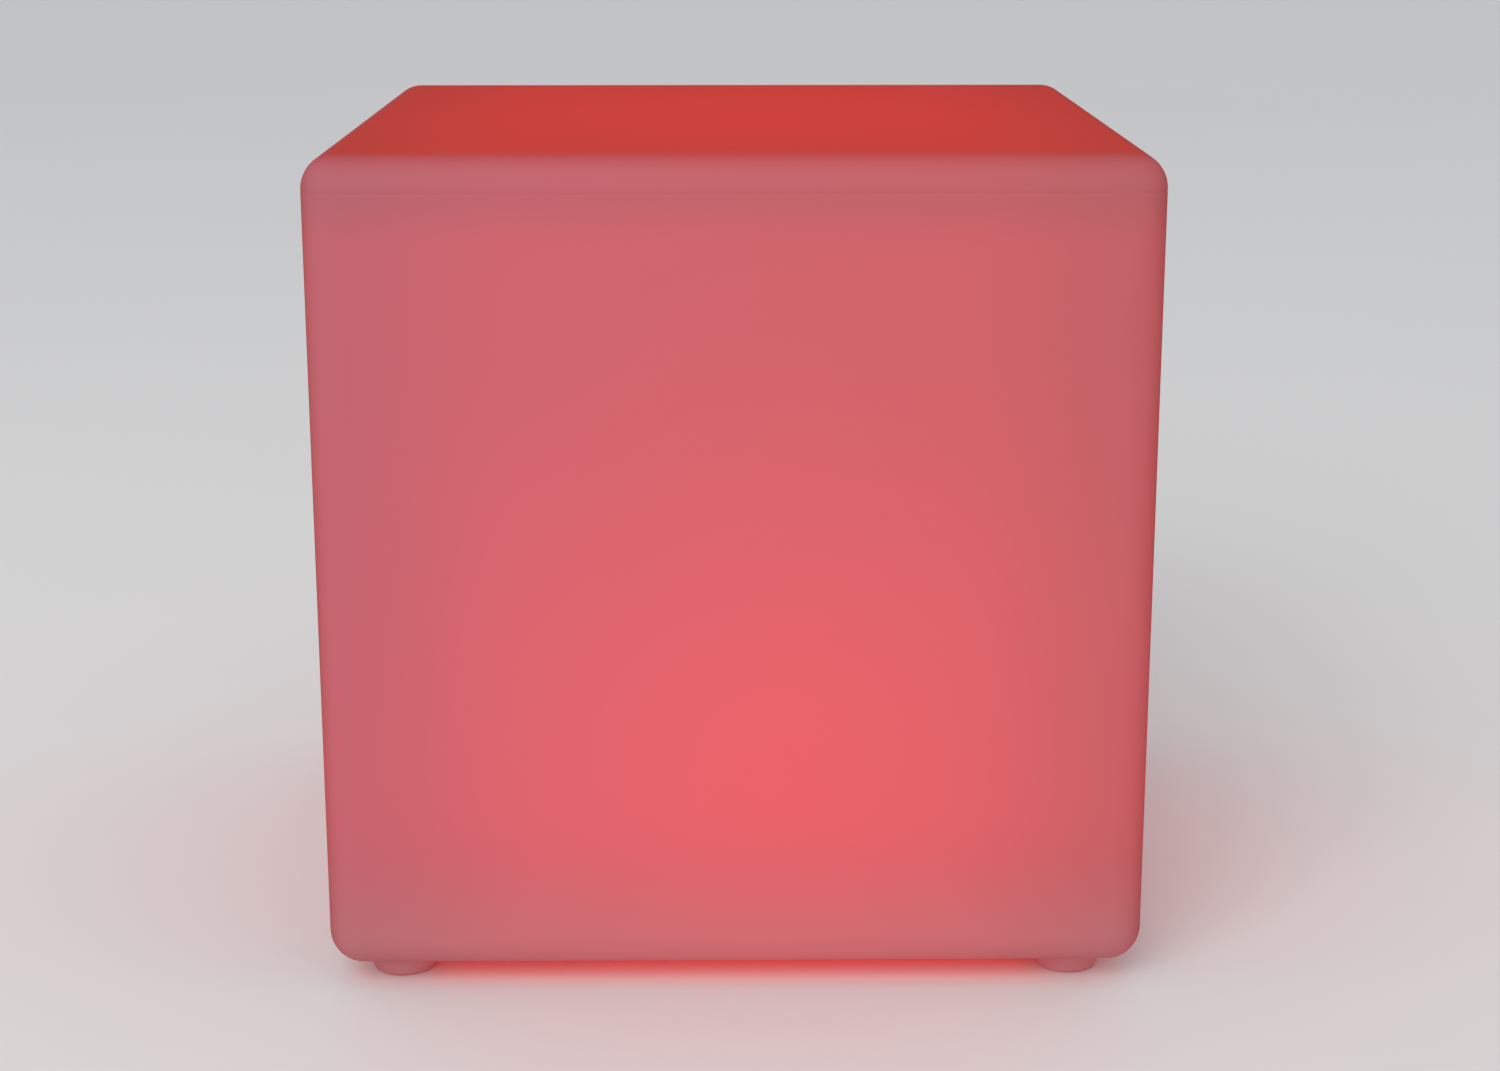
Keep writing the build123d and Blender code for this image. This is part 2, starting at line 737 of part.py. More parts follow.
def light_dome():
    """Frosted cover: stepped rim over the light board, chamfered drum and hooked clips."""
    crown_top = deck_top + dome_height
    outline = [
        (dome_inner_radius, led_board_top),
        (dome_seat_radius, led_board_top),
        (dome_seat_radius, deck_top),
        (dome_outer_radius, deck_top),
        (dome_outer_radius, crown_top - dome_chamfer),
        (dome_outer_radius - dome_chamfer, crown_top),
        (0, crown_top),
        (0, crown_top - dome_wall),
        (dome_inner_radius, crown_top - dome_wall),
    ]
    leg_radius = dome_outer_radius + clip_leg_thickness / 2
    hook_top = deck_bottom - clip_play
    hook_bottom = hook_top - clip_hook_height
    leg = block(clip_leg_thickness, clip_leg_width, hook_bottom, deck_top + clip_leg_width / 2)
    leg += block(dome_wall, clip_leg_width, deck_top, deck_top + clip_leg_width / 2, -dome_wall / 2)
    hook = block(clip_hook, clip_leg_width, hook_bottom, hook_top, (clip_leg_thickness + clip_hook) / 2)
    return turned(outline) + at_each(clip_places(leg_radius), leg + hook)


pieces = {
    "shell": shell(),
    "threaded_inserts": threaded_inserts(),
    "base_gasket": base_gasket(),
    "base_plate": base_plate(),
    "base_screws": screws_from_below(base_screw_places, base_screw_length),
    "light_pipe": light_pipe(),
    "power_button": power_button(),
    "button_seal": button_seal(),
    "button_clip": button_clip(),
    "switch_plunger": switch_plunger(),
    "tact_switch": tact_switch(),
    "port_cover": port_cover(),
    "port_cover_anchor": port_cover_anchor(),
    "charge_socket": charge_socket(),
    "charge_socket_tongue": charge_socket_tongue(),
    "control_board": control_board(),
    "status_led": status_led(),
    "controller_chip": chip(controller_chip_size, controller_chip_x),
    "charge_chip": chip(charge_chip_size, charge_chip_x),
    "power_coil": chip(coil_size, coil_x),
    "capacitors": capacitors(),
    "battery_socket": connector(2, -lead_y),
    "led_socket": connector(4, lead_y),
    "control_board_screws": small_screws(board_screw_places, board_top),
    "battery_tray": battery_tray(),
    "battery_clamp": battery_clamp(),
    "battery_screws": group(at_each(post_places, Pos(0, 0, clamp_ear_top) * screw(battery_screw_length))),
    "battery_cell_left": battery_cell(-1),
    "battery_cell_right": battery_cell(1),
    "positive_tab": cell_tab(1),
    "negative_tab": cell_tab(-1),
    "battery_lead_red": battery_lead("battery_lead_red", 1),
    "battery_lead_black": battery_lead("battery_lead_black", -1),
    "light_cup": light_cup(),
    "cup_screws": screws_from_below(cup_screw_places, cup_screw_length),
    "led_board": led_board(),
    "leds": leds(),
    "led_header": led_header(),
    "led_ribbon": led_ribbon(),
    "light_dome": light_dome(),
}

os.makedirs("parts", exist_ok=True)
for name, solid in pieces.items():
    export_step(solid, f"parts/{name}.step")
print(len(pieces), "pieces written")
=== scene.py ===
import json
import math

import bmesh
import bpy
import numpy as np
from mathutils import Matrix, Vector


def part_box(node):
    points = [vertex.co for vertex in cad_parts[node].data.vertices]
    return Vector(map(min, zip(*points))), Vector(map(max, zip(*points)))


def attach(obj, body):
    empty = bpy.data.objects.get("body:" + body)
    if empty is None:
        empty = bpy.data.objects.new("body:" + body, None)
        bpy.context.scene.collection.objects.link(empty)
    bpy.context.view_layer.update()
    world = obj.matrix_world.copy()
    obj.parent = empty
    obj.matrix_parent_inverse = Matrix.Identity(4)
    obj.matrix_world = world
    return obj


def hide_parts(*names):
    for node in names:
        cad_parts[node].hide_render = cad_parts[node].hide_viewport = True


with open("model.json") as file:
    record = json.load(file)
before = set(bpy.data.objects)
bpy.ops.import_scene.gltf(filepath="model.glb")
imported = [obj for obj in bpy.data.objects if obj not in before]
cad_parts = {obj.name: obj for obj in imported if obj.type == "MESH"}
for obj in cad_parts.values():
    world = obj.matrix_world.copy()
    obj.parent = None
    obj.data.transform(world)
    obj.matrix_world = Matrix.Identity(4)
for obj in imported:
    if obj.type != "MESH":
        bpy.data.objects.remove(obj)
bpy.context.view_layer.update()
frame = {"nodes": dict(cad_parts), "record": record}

# %% [markdown]
# # A cube light that glows from inside
#
# A milky plastic cube stands on four blunt feet, and a light unit in its base lights it red from
# inside. The CAD model is loaded as a fixed frame, in metres, with its front towards -Y. A few of its
# nodes only need a good material. The others are made again as smooth surfaces, worked out with
# numpy at the size and place of each node.

MM = 0.001


def mm(*lengths):
    """Millimetres as metres."""
    return [length * MM for length in lengths]


def low(node):
    """Lowest corner of a CAD node."""
    return np.array(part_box(node)[0])


def high(node):
    """Highest corner of a CAD node."""
    return np.array(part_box(node)[1])


def middle(node):
    """Middle of a CAD node's box."""
    return (low(node) + high(node)) / 2


def heights(node):
    """Heights of a CAD node's bottom and top."""
    return low(node)[2], high(node)[2]


def size_of(node):
    """Length, width and height of a CAD node's box."""
    return high(node) - low(node)


# %% [markdown]
# ## Shader maths as Python
#
# A procedural material is a formula, and is easiest to read when it is written as one. `Wire` wraps
# an output socket: adding two wires places a Math node and returns the wire that leaves it.
# `Recipe.node` makes every other node from its type, its settings, and the value or wire of each
# socket. The Shader Editor makes the same tree by hand, but a formula is shorter and can be reused.

# %% A wire that can do sums
def joined(operation, swapped=False):
    """A method that puts a wire and another value into one Math node."""

    def method(self, other):
        pair = (other, self) if swapped else (self, other)
        return self.recipe.math(operation, *pair)

    return method


class Wire:
    """An output socket with Python's arithmetic."""

    def __init__(self, recipe, socket):
        self.recipe = recipe
        self.socket = socket

    __add__, __radd__ = joined("ADD"), joined("ADD", swapped=True)
    __sub__, __rsub__ = joined("SUBTRACT"), joined("SUBTRACT", swapped=True)
    __mul__, __rmul__ = joined("MULTIPLY"), joined("MULTIPLY", swapped=True)
    __truediv__, __rtruediv__ = joined("DIVIDE"), joined("DIVIDE", swapped=True)
    __pow__, __rpow__ = joined("POWER"), joined("POWER", swapped=True)
    larger, smaller = joined("MAXIMUM"), joined("MINIMUM")

    def __abs__(self):
        return self.recipe.math("ABSOLUTE", self)

    def ramp(self, start, end):
        """0 before start, 1 after end, with a soft S between them."""
        settings = {"interpolation_type": "SMOOTHSTEP"}
        sockets = {"Value": self, "From Min": start, "From Max": end}
        return self.recipe.node("ShaderNodeMapRange", settings, sockets)


# %% A recipe that makes nodes
class Recipe:
    """One material: makes its nodes and ends in a Principled shader."""

    def __init__(self, name):
        self.material = bpy.data.materials.new(name)
        self.material.use_nodes = True
        self.tree = self.material.node_tree
        self.tree.nodes.clear()

    def node(self, kind, settings, sockets, output=0):
        """A node of a kind: settings first, then each socket's wire or value."""
        made = self.tree.nodes.new(kind)
        for key, value in settings.items():
            setattr(made, key, value)
        for key, value in sockets.items():
            if isinstance(value, Wire):
                self.tree.links.new(value.socket, made.inputs[key])
            else:
                made.inputs[key].default_value = value
        return Wire(self, made.outputs[output])

    def math(self, operation, *values):
        """A Math node on one or two values."""
        return self.node("ShaderNodeMath", {"operation": operation}, dict(enumerate(values)))

    def place(self):
        """The point on the object, in metres."""
        return self.node("ShaderNodeTexCoord", {}, {}, output="Object")

    def xyz(self):
        """The three numbers of that point."""
        outputs = self.node("ShaderNodeSeparateXYZ", {}, {0: self.place()}).socket.node.outputs
        return [Wire(self, output) for output in outputs]

    def noise(self, size, detail=2.0):
        """Noise between 0 and 1 whose lumps are about `size` metres across."""
        sockets = {"Vector": self.place(), "Scale": 1 / size, "Detail": detail}
        return self.node("ShaderNodeTexNoise", {}, sockets)

    def mix(self, factor, first, second):
        """From the first colour to the second as the factor goes from 0 to 1."""
        first, second = (tone if isinstance(tone, Wire) else (*tone, 1.0) for tone in (first, second))
        return self.node("ShaderNodeMix", {"data_type": "RGBA"}, {0: factor, 6: first, 7: second}, output=2)

    def finish(self, base, rough, grain, change=0.1, relief=None, depth=None, glow=None, **others):
        """Ends in a Principled shader. The grain changes the gloss, the relief is `depth` metres deep,
        and the glow is a colour and its level, which changes over the surface."""
        sockets = {"Base Color": base, "Roughness": rough + (grain - 0.5) * change}
        if depth:
            bump = {"Height": relief or grain, "Distance": depth}
            sockets["Normal"] = self.node("ShaderNodeBump", {}, bump)
        if glow:
            light = {0: glow[0], "Scale": glow[1]}
            sockets["Emission Color"] = self.node("ShaderNodeVectorMath", {"operation": "SCALE"}, light)
            sockets["Emission Strength"] = 1.0
        sockets.update({key.replace("_", " "): value for key, value in others.items()})
        shader = self.node("ShaderNodeBsdfPrincipled", {}, sockets)
        ending = self.tree.nodes.new("ShaderNodeOutputMaterial")
        self.tree.links.new(shader.socket, ending.inputs["Surface"])
        return self.material


# %% [markdown]
# ## One kind of finish for many pieces
#
# No real surface is one flat colour. One function gives a piece a slow change of tone, a fine grain
# in the gloss, and a bump, all at their real scale. Moulded plastics are matt, plated steel is
# metallic and rubber is dull, so they differ only in their numbers. Here every CAD node whose slot
# is in the table gets its finish. Most nodes that are made again later take theirs from it too, and
# the others, such as the shell, the dome and the cells, get a recipe of their own.

# %% Plastics, rubbers and metals
CLOUD, GRAIN = mm(8, 0.3)


def moulded(name, base, rough=0.5, tone=0.06, depth=0.01 * MM, **constants):
    """Varies the base colour by +-tone over the clouds, and the gloss over the grain."""
    recipe = Recipe(name)
    darker, lighter = ([min(part * share, 1.0) for part in base] for share in (1 - tone, 1 + tone))
    paint = recipe.mix(recipe.noise(CLOUD, detail=3.0), darker, lighter)
    return recipe.finish(paint, rough, recipe.noise(GRAIN), change=0.12, depth=depth, **constants)


FINISHES = {
    "white_plastic": dict(base=(0.78, 0.77, 0.74), rough=0.55, depth=0.02 * MM),
    "button_plastic": dict(base=(0.56, 0.56, 0.55), rough=0.4),
    "cover_rubber": dict(base=(0.60, 0.60, 0.58), rough=0.75, depth=0.02 * MM),
    "white_silicone": dict(base=(0.72, 0.72, 0.70), rough=0.7),
    "clear_plastic": dict(base=(0.92, 0.95, 0.95), rough=0.12, Transmission_Weight=0.85, IOR=1.49),
    "black_plastic": dict(base=(0.025, 0.025, 0.027), rough=0.45, tone=0.2),
    "grey_plastic": dict(base=(0.10, 0.105, 0.115), rough=0.55, tone=0.1),
    "ivory_plastic": dict(base=(0.76, 0.70, 0.55), rough=0.45),
    "black_rubber": dict(base=(0.02, 0.02, 0.02), rough=0.6, tone=0.2),
    "screw_steel": dict(base=(0.62, 0.62, 0.63), rough=0.3, tone=0.05, Metallic=1.0),
    "spring_steel": dict(base=(0.45, 0.46, 0.48), rough=0.28, Metallic=1.0),
    "socket_steel": dict(base=(0.68, 0.69, 0.70), rough=0.22, Metallic=1.0),
    "nickel_strip": dict(base=(0.66, 0.63, 0.58), rough=0.3, Metallic=1.0),
    "brass": dict(base=(0.75, 0.55, 0.22), rough=0.28, Metallic=1.0),
    "white_laminate": dict(base=(0.80, 0.80, 0.77), rough=0.35),
    "led_lens": dict(base=(0.80, 0.50, 0.45), rough=0.3),
    "grey_ferrite": dict(base=(0.07, 0.07, 0.075), rough=0.6, tone=0.2),
    "red_wire": dict(base=(0.55, 0.02, 0.015), rough=0.45),
    "black_wire": dict(base=(0.02, 0.02, 0.02), rough=0.45, tone=0.2),
    "grey_wire": dict(base=(0.30, 0.31, 0.32), rough=0.5),
}
finishes = {name: moulded(name, **numbers) for name, numbers in FINISHES.items()}
slot_of = {part["node"]: part["material_slot"] for part in frame["record"]["subparts"]}
for node, slot in slot_of.items():
    if slot in finishes:
        materials = frame["nodes"][node].data.materials
        materials.clear()
        materials.append(finishes[slot])
print(len(finishes), "finishes")

# %% [markdown]
# ## The milky shell's material
#
# The real shell is milky polyethylene about 3 mm thick, lit from inside. A volume or a subsurface
# shader with real lamps inside would be slow and noisy, and the exported model would lose it. The
# light that leaves each point is easy to work out instead. A wall point at the distance r from the
# lamp is lit by facing / r ** 3, where facing is how far the wall's plane is from the lamp. Light
# that bounces about adds a share that is the same everywhere. The sum goes to Emission Color. The
# lamp is at the height of the dome's middle, and the glow sits a little to its right.

# %% Light that reaches the shell from inside
SIDE, TOP = high("shell")[0], high("shell")[2]
EDGE, FOOT = mm(8.5, 5.2)
HALF = SIDE - EDGE
LAMP_ACROSS, LAMP_HEIGHT = 9 * MM, middle("light_dome")[2]
EVEN_LIGHT, DIRECT_LIGHT, BENEATH_LIGHT = 0.30, 0.29, 0.35
print(f"Side wall at {SIDE:.4f} m, top at {TOP:.4f} m, lamp at {LAMP_HEIGHT:.4f} m")


def light_from_inside(x, y, z):
    """Direct share: SIDE ** 2 * facing / r ** 3, which is 1 on a side wall level with the lamp."""
    across, above = x - LAMP_ACROSS, z - LAMP_HEIGHT
    facing = abs(x).larger(abs(y)).larger(above)
    return facing * SIDE**2 / (across * across + y * y + above * above) ** 1.5


def milky_glow():
    """The glow is turned down near the table, in the corners, at the vertical edges and under the top
    edge. The body colour is painted light and shade: its pink is painted red glow, painted light makes
    it bluer on the left and paler low down, and painted shade makes it darker on the vertical edges
    and on the top.
    """
    recipe = Recipe("milky_glow")
    x, y, z = recipe.xyz()
    upward = ((z - (TOP - EDGE)) / EDGE).larger(0.0)
    near_table = 1 - z.ramp(0.0, 50 * MM)
    corner = abs(x).smaller(abs(y).larger(z - SIDE)).ramp(0.5 * SIDE, SIDE)
    # Painted shade on the vertical edges: it turns their glow down and their body colour darker and redder.
    painted_edge_shade = ((abs(x) - HALF) / EDGE).larger(0.0) ** 4 * abs(y).ramp(HALF - 6 * MM, HALF + 2 * MM)
    shoulder = z.ramp(TOP - 22 * MM, TOP - EDGE) * (1 - upward.ramp(0.96, 1.0))
    beneath = 1 - abs(z - FOOT).ramp(0.1 * MM, 0.4 * MM)
    level = EVEN_LIGHT + light_from_inside(x, y, z) * DIRECT_LIGHT
    for mask, loss in ((near_table, 0.30), (corner, 0.20), (painted_edge_shade, 0.28), (shoulder, 0.22)):
        level = level * (1 - mask * loss)
    level = level * (0.98 + recipe.noise(45 * MM, detail=1.0) * 0.04) + beneath * BENEATH_LIGHT

    # Painted light: the body colour turns bluer towards the left, as if cool light came from that side.
    painted_light_from_left = 0.5 - x / (2 * SIDE)
    # Painted light: the body colour is paler low down, as if light were thrown up off the table.
    painted_floor_bounce = 1 - z.ramp(0.0, 40 * MM)
    # The body colour's pink is painted red glow over milky white plastic.
    body = recipe.mix(painted_light_from_left, (0.235, 0.113, 0.122), (0.235, 0.119, 0.144))
    body = recipe.mix(painted_floor_bounce, body, (0.235, 0.160, 0.170))
    # Painted shade: the vertical edges' body colour is darker and redder.
    body = recipe.mix(painted_edge_shade, body, (0.215, 0.090, 0.092))
    # Painted shade: the top's body colour is darker and redder, where less light falls.
    body = recipe.mix(upward**4, body, (0.195, 0.050, 0.040))
    # Painted reflection: the glow turns pinker near the feet, as if the table threw light back.
    tint = recipe.mix(1 - z.ramp(FOOT, FOOT + EDGE), (1.0, 0.018, 0.022), (1.0, 0.10, 0.115))
    tint = recipe.mix(beneath, tint, (1.0, 0.03, 0.03))
    grain = recipe.noise(0.5 * MM)
    waves = recipe.noise(30 * MM, detail=0.0)
    return recipe.finish(
        body, 0.44, grain, change=0.08, relief=grain * 0.04 + waves, depth=0.12 * MM,
        glow=(tint, level), Specular_IOR_Level=0.0,
    )


# %% [markdown]
# ## The shell as one smooth surface
#
# The shell is a hollow moulding: a rounded cube with a round opening below, closed by the base
# plate. A cube with a Bevel modifier and a boolean would leave long thin faces whose shading shows.
# A rounded cube is also simple to write down: take the box that the edge rounding leaves inside, the
# core, and move every point of it outwards by the radius. Along a flat the core point travels and the
# direction stays; round an edge the core point stays and the direction turns. Rings of this kind are
# stacked along a profile. Where they run to the opening, they turn from squares into circles.

# %% Grids of points, and one object from its grids
MERGE = 0.5e-6
body_of = {node: body for body, nodes in frame["record"]["behaviour"]["bodies"].items() for node in nodes}


def grid_faces(rows, columns):
    """Quads of a grid whose columns run round in a loop."""
    row, column = np.arange(rows - 1)[:, None], np.arange(columns)[None, :]
    beside = (column + 1) % columns
    corners = (row * columns + column, row * columns + beside)
    corners += ((row + 1) * columns + beside, (row + 1) * columns + column)
    return np.stack(corners, axis=-1).reshape(-1, 4)


def surface(name, grids, material, crisp=35, patches=()):
    """A smooth object from grids and filled patches. Folds of more than `crisp` degrees stay sharp."""
    parts = [grid.reshape(-1, 3) for grid in grids] + [points for points, triangles in patches]
    starts = np.cumsum([0] + [len(part) for part in parts])
    faces = [grid_faces(*grid.shape[:2]) for grid in grids] + [triangles for points, triangles in patches]
    faces = [face for start, some in zip(starts, faces) for face in (start + some).tolist()]
    mesh = bpy.data.meshes.new(name)
    mesh.from_pydata(np.concatenate(parts).tolist(), [], faces)
    work = bmesh.new()
    work.from_mesh(mesh)
    bmesh.ops.remove_doubles(work, verts=work.verts, dist=MERGE)
    bmesh.ops.recalc_face_normals(work, faces=work.faces)
    for edge in work.edges:
        edge.smooth = len(edge.link_faces) != 2 or edge.calc_face_angle(0) < math.radians(crisp)
    work.to_mesh(mesh)
    work.free()
    mesh.polygons.foreach_set("use_smooth", np.ones(len(mesh.polygons), dtype=bool))
    mesh.materials.append(material)
    made = bpy.data.objects.new(name, mesh)
    bpy.context.collection.objects.link(made)
    return made


def build(node, grids, material=None, **options):
    """A surface that stands for a CAD node and hides it, hangs under the empty of the node's body, and
    takes its slot's finish unless a material is given.
    """
    made = surface(node + "_surface", grids, material or finishes[slot_of[node]], **options)
    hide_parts(node)
    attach(made, body_of[node])
    print(f"{node}: {len(made.data.polygons)} faces")


# %% Loops and rings
def square_loop(flat_steps, corner_steps, half, radius):
    """Once round a rounded square: core points, outward directions, and the same angles on a circle.

    Side k faces the angle 90k degrees. Along it the core point runs from corner to corner with
    steps that crowd towards both ends; then the direction turns by 90 degrees round the corner.
    """
    along = 0.5 - 0.5 * np.cos(np.linspace(0, math.pi, flat_steps, endpoint=False))
    turn = np.linspace(0, 1, corner_steps, endpoint=False)
    across = np.concatenate([2 * along - 1, np.ones(corner_steps)])
    lean = np.concatenate([np.zeros(flat_steps), turn])
    facing = np.arange(4)[:, None] * (math.pi / 2)
    normal_x, normal_y = np.cos(facing), np.sin(facing)
    core = np.stack([normal_x - across * normal_y, normal_y + across * normal_x], axis=-1).reshape(-1, 2)
    angle = (facing + lean * (math.pi / 2)).ravel()
    direction = np.stack([np.cos(angle), np.sin(angle)], axis=-1)
    outline = half * core + radius * direction
    return core, direction, outline / np.linalg.norm(outline, axis=1, keepdims=True)


def raised(flat, height):
    """Rows of (x, y) points, with each row at its own height."""
    level = np.broadcast_to(np.reshape(height, (-1, 1, 1)), flat.shape[:2] + (1,))
    return np.concatenate([flat, level], axis=-1)


def stack_rings(loop, rings):
    """Rows of points: (1 - w) * (half * core + radius * direction) + w * round_radius * circle."""
    core, direction, circle = loop
    half, radius, weight, round_radius, height = np.array(rings).T[:, :, None, None]
    return raised((1 - weight) * (half * core + radius * direction) + weight * round_radius * circle, height)


def square_ring(radius, height, half=HALF):
    return (half, radius, 0.0, 0.0, height)


def circle_ring(radius, height, weight=1.0):
    return (HALF, 0.0, weight, radius, height)


# %% The shell's profile, from the seat inside the opening, over the outside, and back inside
WALL = 3.0 * MM
SEAT = high("base_gasket")[2]
OPENING, RECESS = 44.4 * MM, high("base_plate")[0] + 0.5 * MM
# The lip's arc stops short of its quarter turn, and a straight step joins it to the underside.
LIP, CRISP, LIP_TURN = *mm(0.8, 0.1), 90 * 9 / 11
LINE_WIDTH, LINE_DEPTH = mm(0.6, 0.05)
ROUND_STEPS = 12


def arc(centre_radius, centre_height, radius, start, end, steps=6):
    """Profile points on an arc, angles in degrees from straight outwards towards up."""
    angle = np.radians(np.linspace(start, end, steps))
    return list(zip(centre_radius + radius * np.cos(angle), centre_height + radius * np.sin(angle)))


def outer_profile():
    """From the seat's inner edge, round the recess and its lip, up the side, to the middle of the top."""
    line = TOP - EDGE
    turned = [(OPENING, SEAT + WALL), (OPENING, SEAT + CRISP / 2), (OPENING, SEAT), (OPENING + CRISP, SEAT)]
    turned += [(RECESS - CRISP, SEAT), (RECESS, SEAT), (RECESS, SEAT - CRISP)]
    turned += arc(RECESS + LIP, FOOT + LIP, LIP, 180, 180 + LIP_TURN, 4)
    turned += [(RECESS + LIP, FOOT)]
    rings = [circle_ring(*point) for point in turned]
    rings += [circle_ring(RECESS + LIP, FOOT, weight) for weight in np.linspace(1, 0, 7)[1:-1]]
    rings += [square_ring(0.0, FOOT, HALF - 5 * CRISP)]
    rings += [square_ring(*point) for point in arc(0, FOOT + EDGE, EDGE, -90, 0, ROUND_STEPS)]
    rings += [square_ring(EDGE, FOOT + EDGE + 5 * CRISP), square_ring(EDGE, (FOOT + TOP) / 2)]
    rings += [square_ring(EDGE, line - LINE_WIDTH - 3 * CRISP), square_ring(EDGE, line - LINE_WIDTH)]
    rings += [square_ring(EDGE - LINE_DEPTH, line - LINE_WIDTH * share) for share in (0.75, 0.25)]
    rings += [square_ring(*point) for point in arc(0, line, EDGE, 0, 90, ROUND_STEPS)]
    return rings + [square_ring(0.0, TOP, HALF * share) for share in (0.995, 0.9, 0.75, 0.5, 0.25, 0.0)]


def inner_profile():
    """The same core with a radius one wall smaller, from the middle of the ceiling to the opening."""
    inside = EDGE - WALL
    rings = [square_ring(0.0, TOP - WALL, HALF * share) for share in (0.0, 0.5, 0.995)]
    turns = arc(0, TOP - EDGE, inside, 90, 0) + arc(0, FOOT + EDGE, inside, 0, -90)
    rings += [square_ring(*point) for point in turns]
    rings += [circle_ring(RECESS + WALL, FOOT + WALL, weight) for weight in (0.33, 0.66, 1.0)]
    return rings + [circle_ring(RECESS + WALL, SEAT + WALL), circle_ring(OPENING, SEAT + WALL)]


# %% The feet, and the whole shell
FOOT_TIP, FOOT_ROOT, FOOT_RIM, FOOT_FLARE = mm(7.8, 8.8, 1.3, 1.2)
FOOT_OUT = SIDE - 17.0 * MM


def round_loop(radius=1.0, centre=(0.0, 0.0), steps=48):
    """Points of a circle."""
    angle = np.arange(steps) * (2 * math.pi / steps)
    return np.array(centre) + radius * np.stack([np.cos(angle), np.sin(angle)], axis=-1)


def lathe(profile, steps=48, centre=(0.0, 0.0)):
    """Points of (radius, height) pairs turned about an upright axis: x = r cos a, y = r sin a."""
    radius, height = np.array(profile).T
    return raised(np.array(centre) + radius[:, None, None] * round_loop(steps=steps), height)


def foot_profile():
    """Blunt stub: flat tip, rounded rim, cone, and a small flare where it leaves the underside."""
    lean = math.degrees(math.atan((FOOT_ROOT - FOOT_TIP) / FOOT))
    flared, sunk = FOOT_ROOT + FOOT_FLARE, FOOT + WALL / 3
    profile = [(0.0, 0.0), (FOOT_TIP - FOOT_RIM - 0.3 * MM, 0.0)]
    profile += arc(FOOT_TIP - FOOT_RIM, FOOT_RIM, FOOT_RIM, -90, -lean)
    profile += arc(flared, FOOT - FOOT_FLARE, FOOT_FLARE, 180 - lean, 90)
    return profile + [(flared, sunk), (0.0, sunk)]


shell_loop = square_loop(26, 10, HALF, EDGE)
shell_grids = [stack_rings(shell_loop, outer_profile() + inner_profile())]
for across in (-FOOT_OUT, FOOT_OUT):
    shell_grids += [lathe(foot_profile(), centre=(across, along)) for along in (-FOOT_OUT, FOOT_OUT)]
shell_skin = surface("shell_skin", shell_grids, milky_glow(), crisp=50)
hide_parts("shell")
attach(shell_skin, "housing")
print("Shell:", len(shell_skin.data.polygons), "faces")

# %% [markdown]
# ## Three ways to make a surface
#
# Nearly every piece is a profile that runs round something. Run round an upright axis it is a
# lathe's work, such as a button or a screw. Run round a rounded rectangle it is a box with soft
# edges. Moved along a path it is a wire. All three give one grid of points, so one function makes
# their faces. A small curve cuts each sharp corner of a profile first, because no real edge is
# perfectly sharp, and the soft edge is what catches the light.

# %% Profiles with soft corners, turned or run round a rectangle
small_loop = square_loop(4, 5, 1.0, 1.0)
print("Points once round a small box:", len(small_loop[0]))


def softened(corners, radius, steps=3):
    """Each corner p between a and b becomes (1-t)^2 a' + 2 t (1-t) p + t^2 b', a radius to each side."""
    corners = np.array(corners, dtype=float)
    corner = corners[1:-1]
    ways = corners[:-2] - corner, corners[2:] - corner
    lengths = [np.linalg.norm(way, axis=1, keepdims=True) for way in ways]
    cut = np.minimum(radius, 0.45 * np.minimum(*lengths))
    before, after = ((corner + way / length * cut)[:, None] for way, length in zip(ways, lengths))
    t = np.linspace(0, 1, steps + 1)[:, None]
    bends = (1 - t) ** 2 * before + 2 * t * (1 - t) * corner[:, None] + t**2 * after
    return np.concatenate([corners[:1], bends.reshape(-1, corners.shape[1]), corners[-1:]])


def stepped(*values):
    """Square-cut corners (r0, z0), (r1, z0), (r1, z1), (r2, z1) from the values r0, z0, r1, z1, r2."""
    pairs = zip(values, values[1:])
    return [pair[::-1] if step % 2 else pair for step, pair in enumerate(pairs)]


def rod(radius, bottom, top, edge, steps, centre=(0.0, 0.0)):
    """A solid disc or rod with soft edges."""
    return lathe(softened(stepped(0, bottom, radius, top, 0), edge), steps, centre)


def tube(outer, inner, bottom, top, centre, edge=0.2 * MM, steps=48):
    """A tube, as a closed profile that is turned."""
    start = (bottom + top) / 2
    outline = stepped(inner, start, inner, bottom, outer, top, inner, start)[1:]
    return lathe(softened(outline, edge), steps, centre)


def turned_about(grid, angle):
    """The grid turned about the Z axis by an angle in degrees."""
    turn = math.radians(angle)
    x, y, z = np.moveaxis(grid, -1, 0)
    turned = [x * math.cos(turn) - y * math.sin(turn), x * math.sin(turn) + y * math.cos(turn), z]
    return np.stack(turned, axis=-1)


def ringed(rows, centre=(0.0, 0.0)):
    """Rounded rectangles stacked up: rows of (length, width, corner, height)."""
    core, direction, _ = small_loop
    length, width, corner, height = np.array(rows).T[:, :, None, None]
    half = np.maximum(np.concatenate([length, width], axis=-1) / 2 - corner, 0)
    return raised(half * core + corner * direction + np.array(centre), height)


def soft_box(size, corner, profile, centre=(0.0, 0.0)):
    """A rounded rectangle that moves in by each row's inset, at each row's height."""
    inset, height = np.array(profile).T
    rows = [size[0] - 2 * inset, size[1] - 2 * inset, np.maximum(corner - inset, 0), height]
    return ringed(np.stack(rows, axis=-1), centre)


def soft_block(size, corner, bottom, top, edge, centre=(0.0, 0.0)):
    """A closed box with rounded corners and edges."""
    outline = stepped(min(size) / 2, bottom, 0, top, min(size) / 2)
    return soft_box(size, corner, softened(outline, edge), centre)


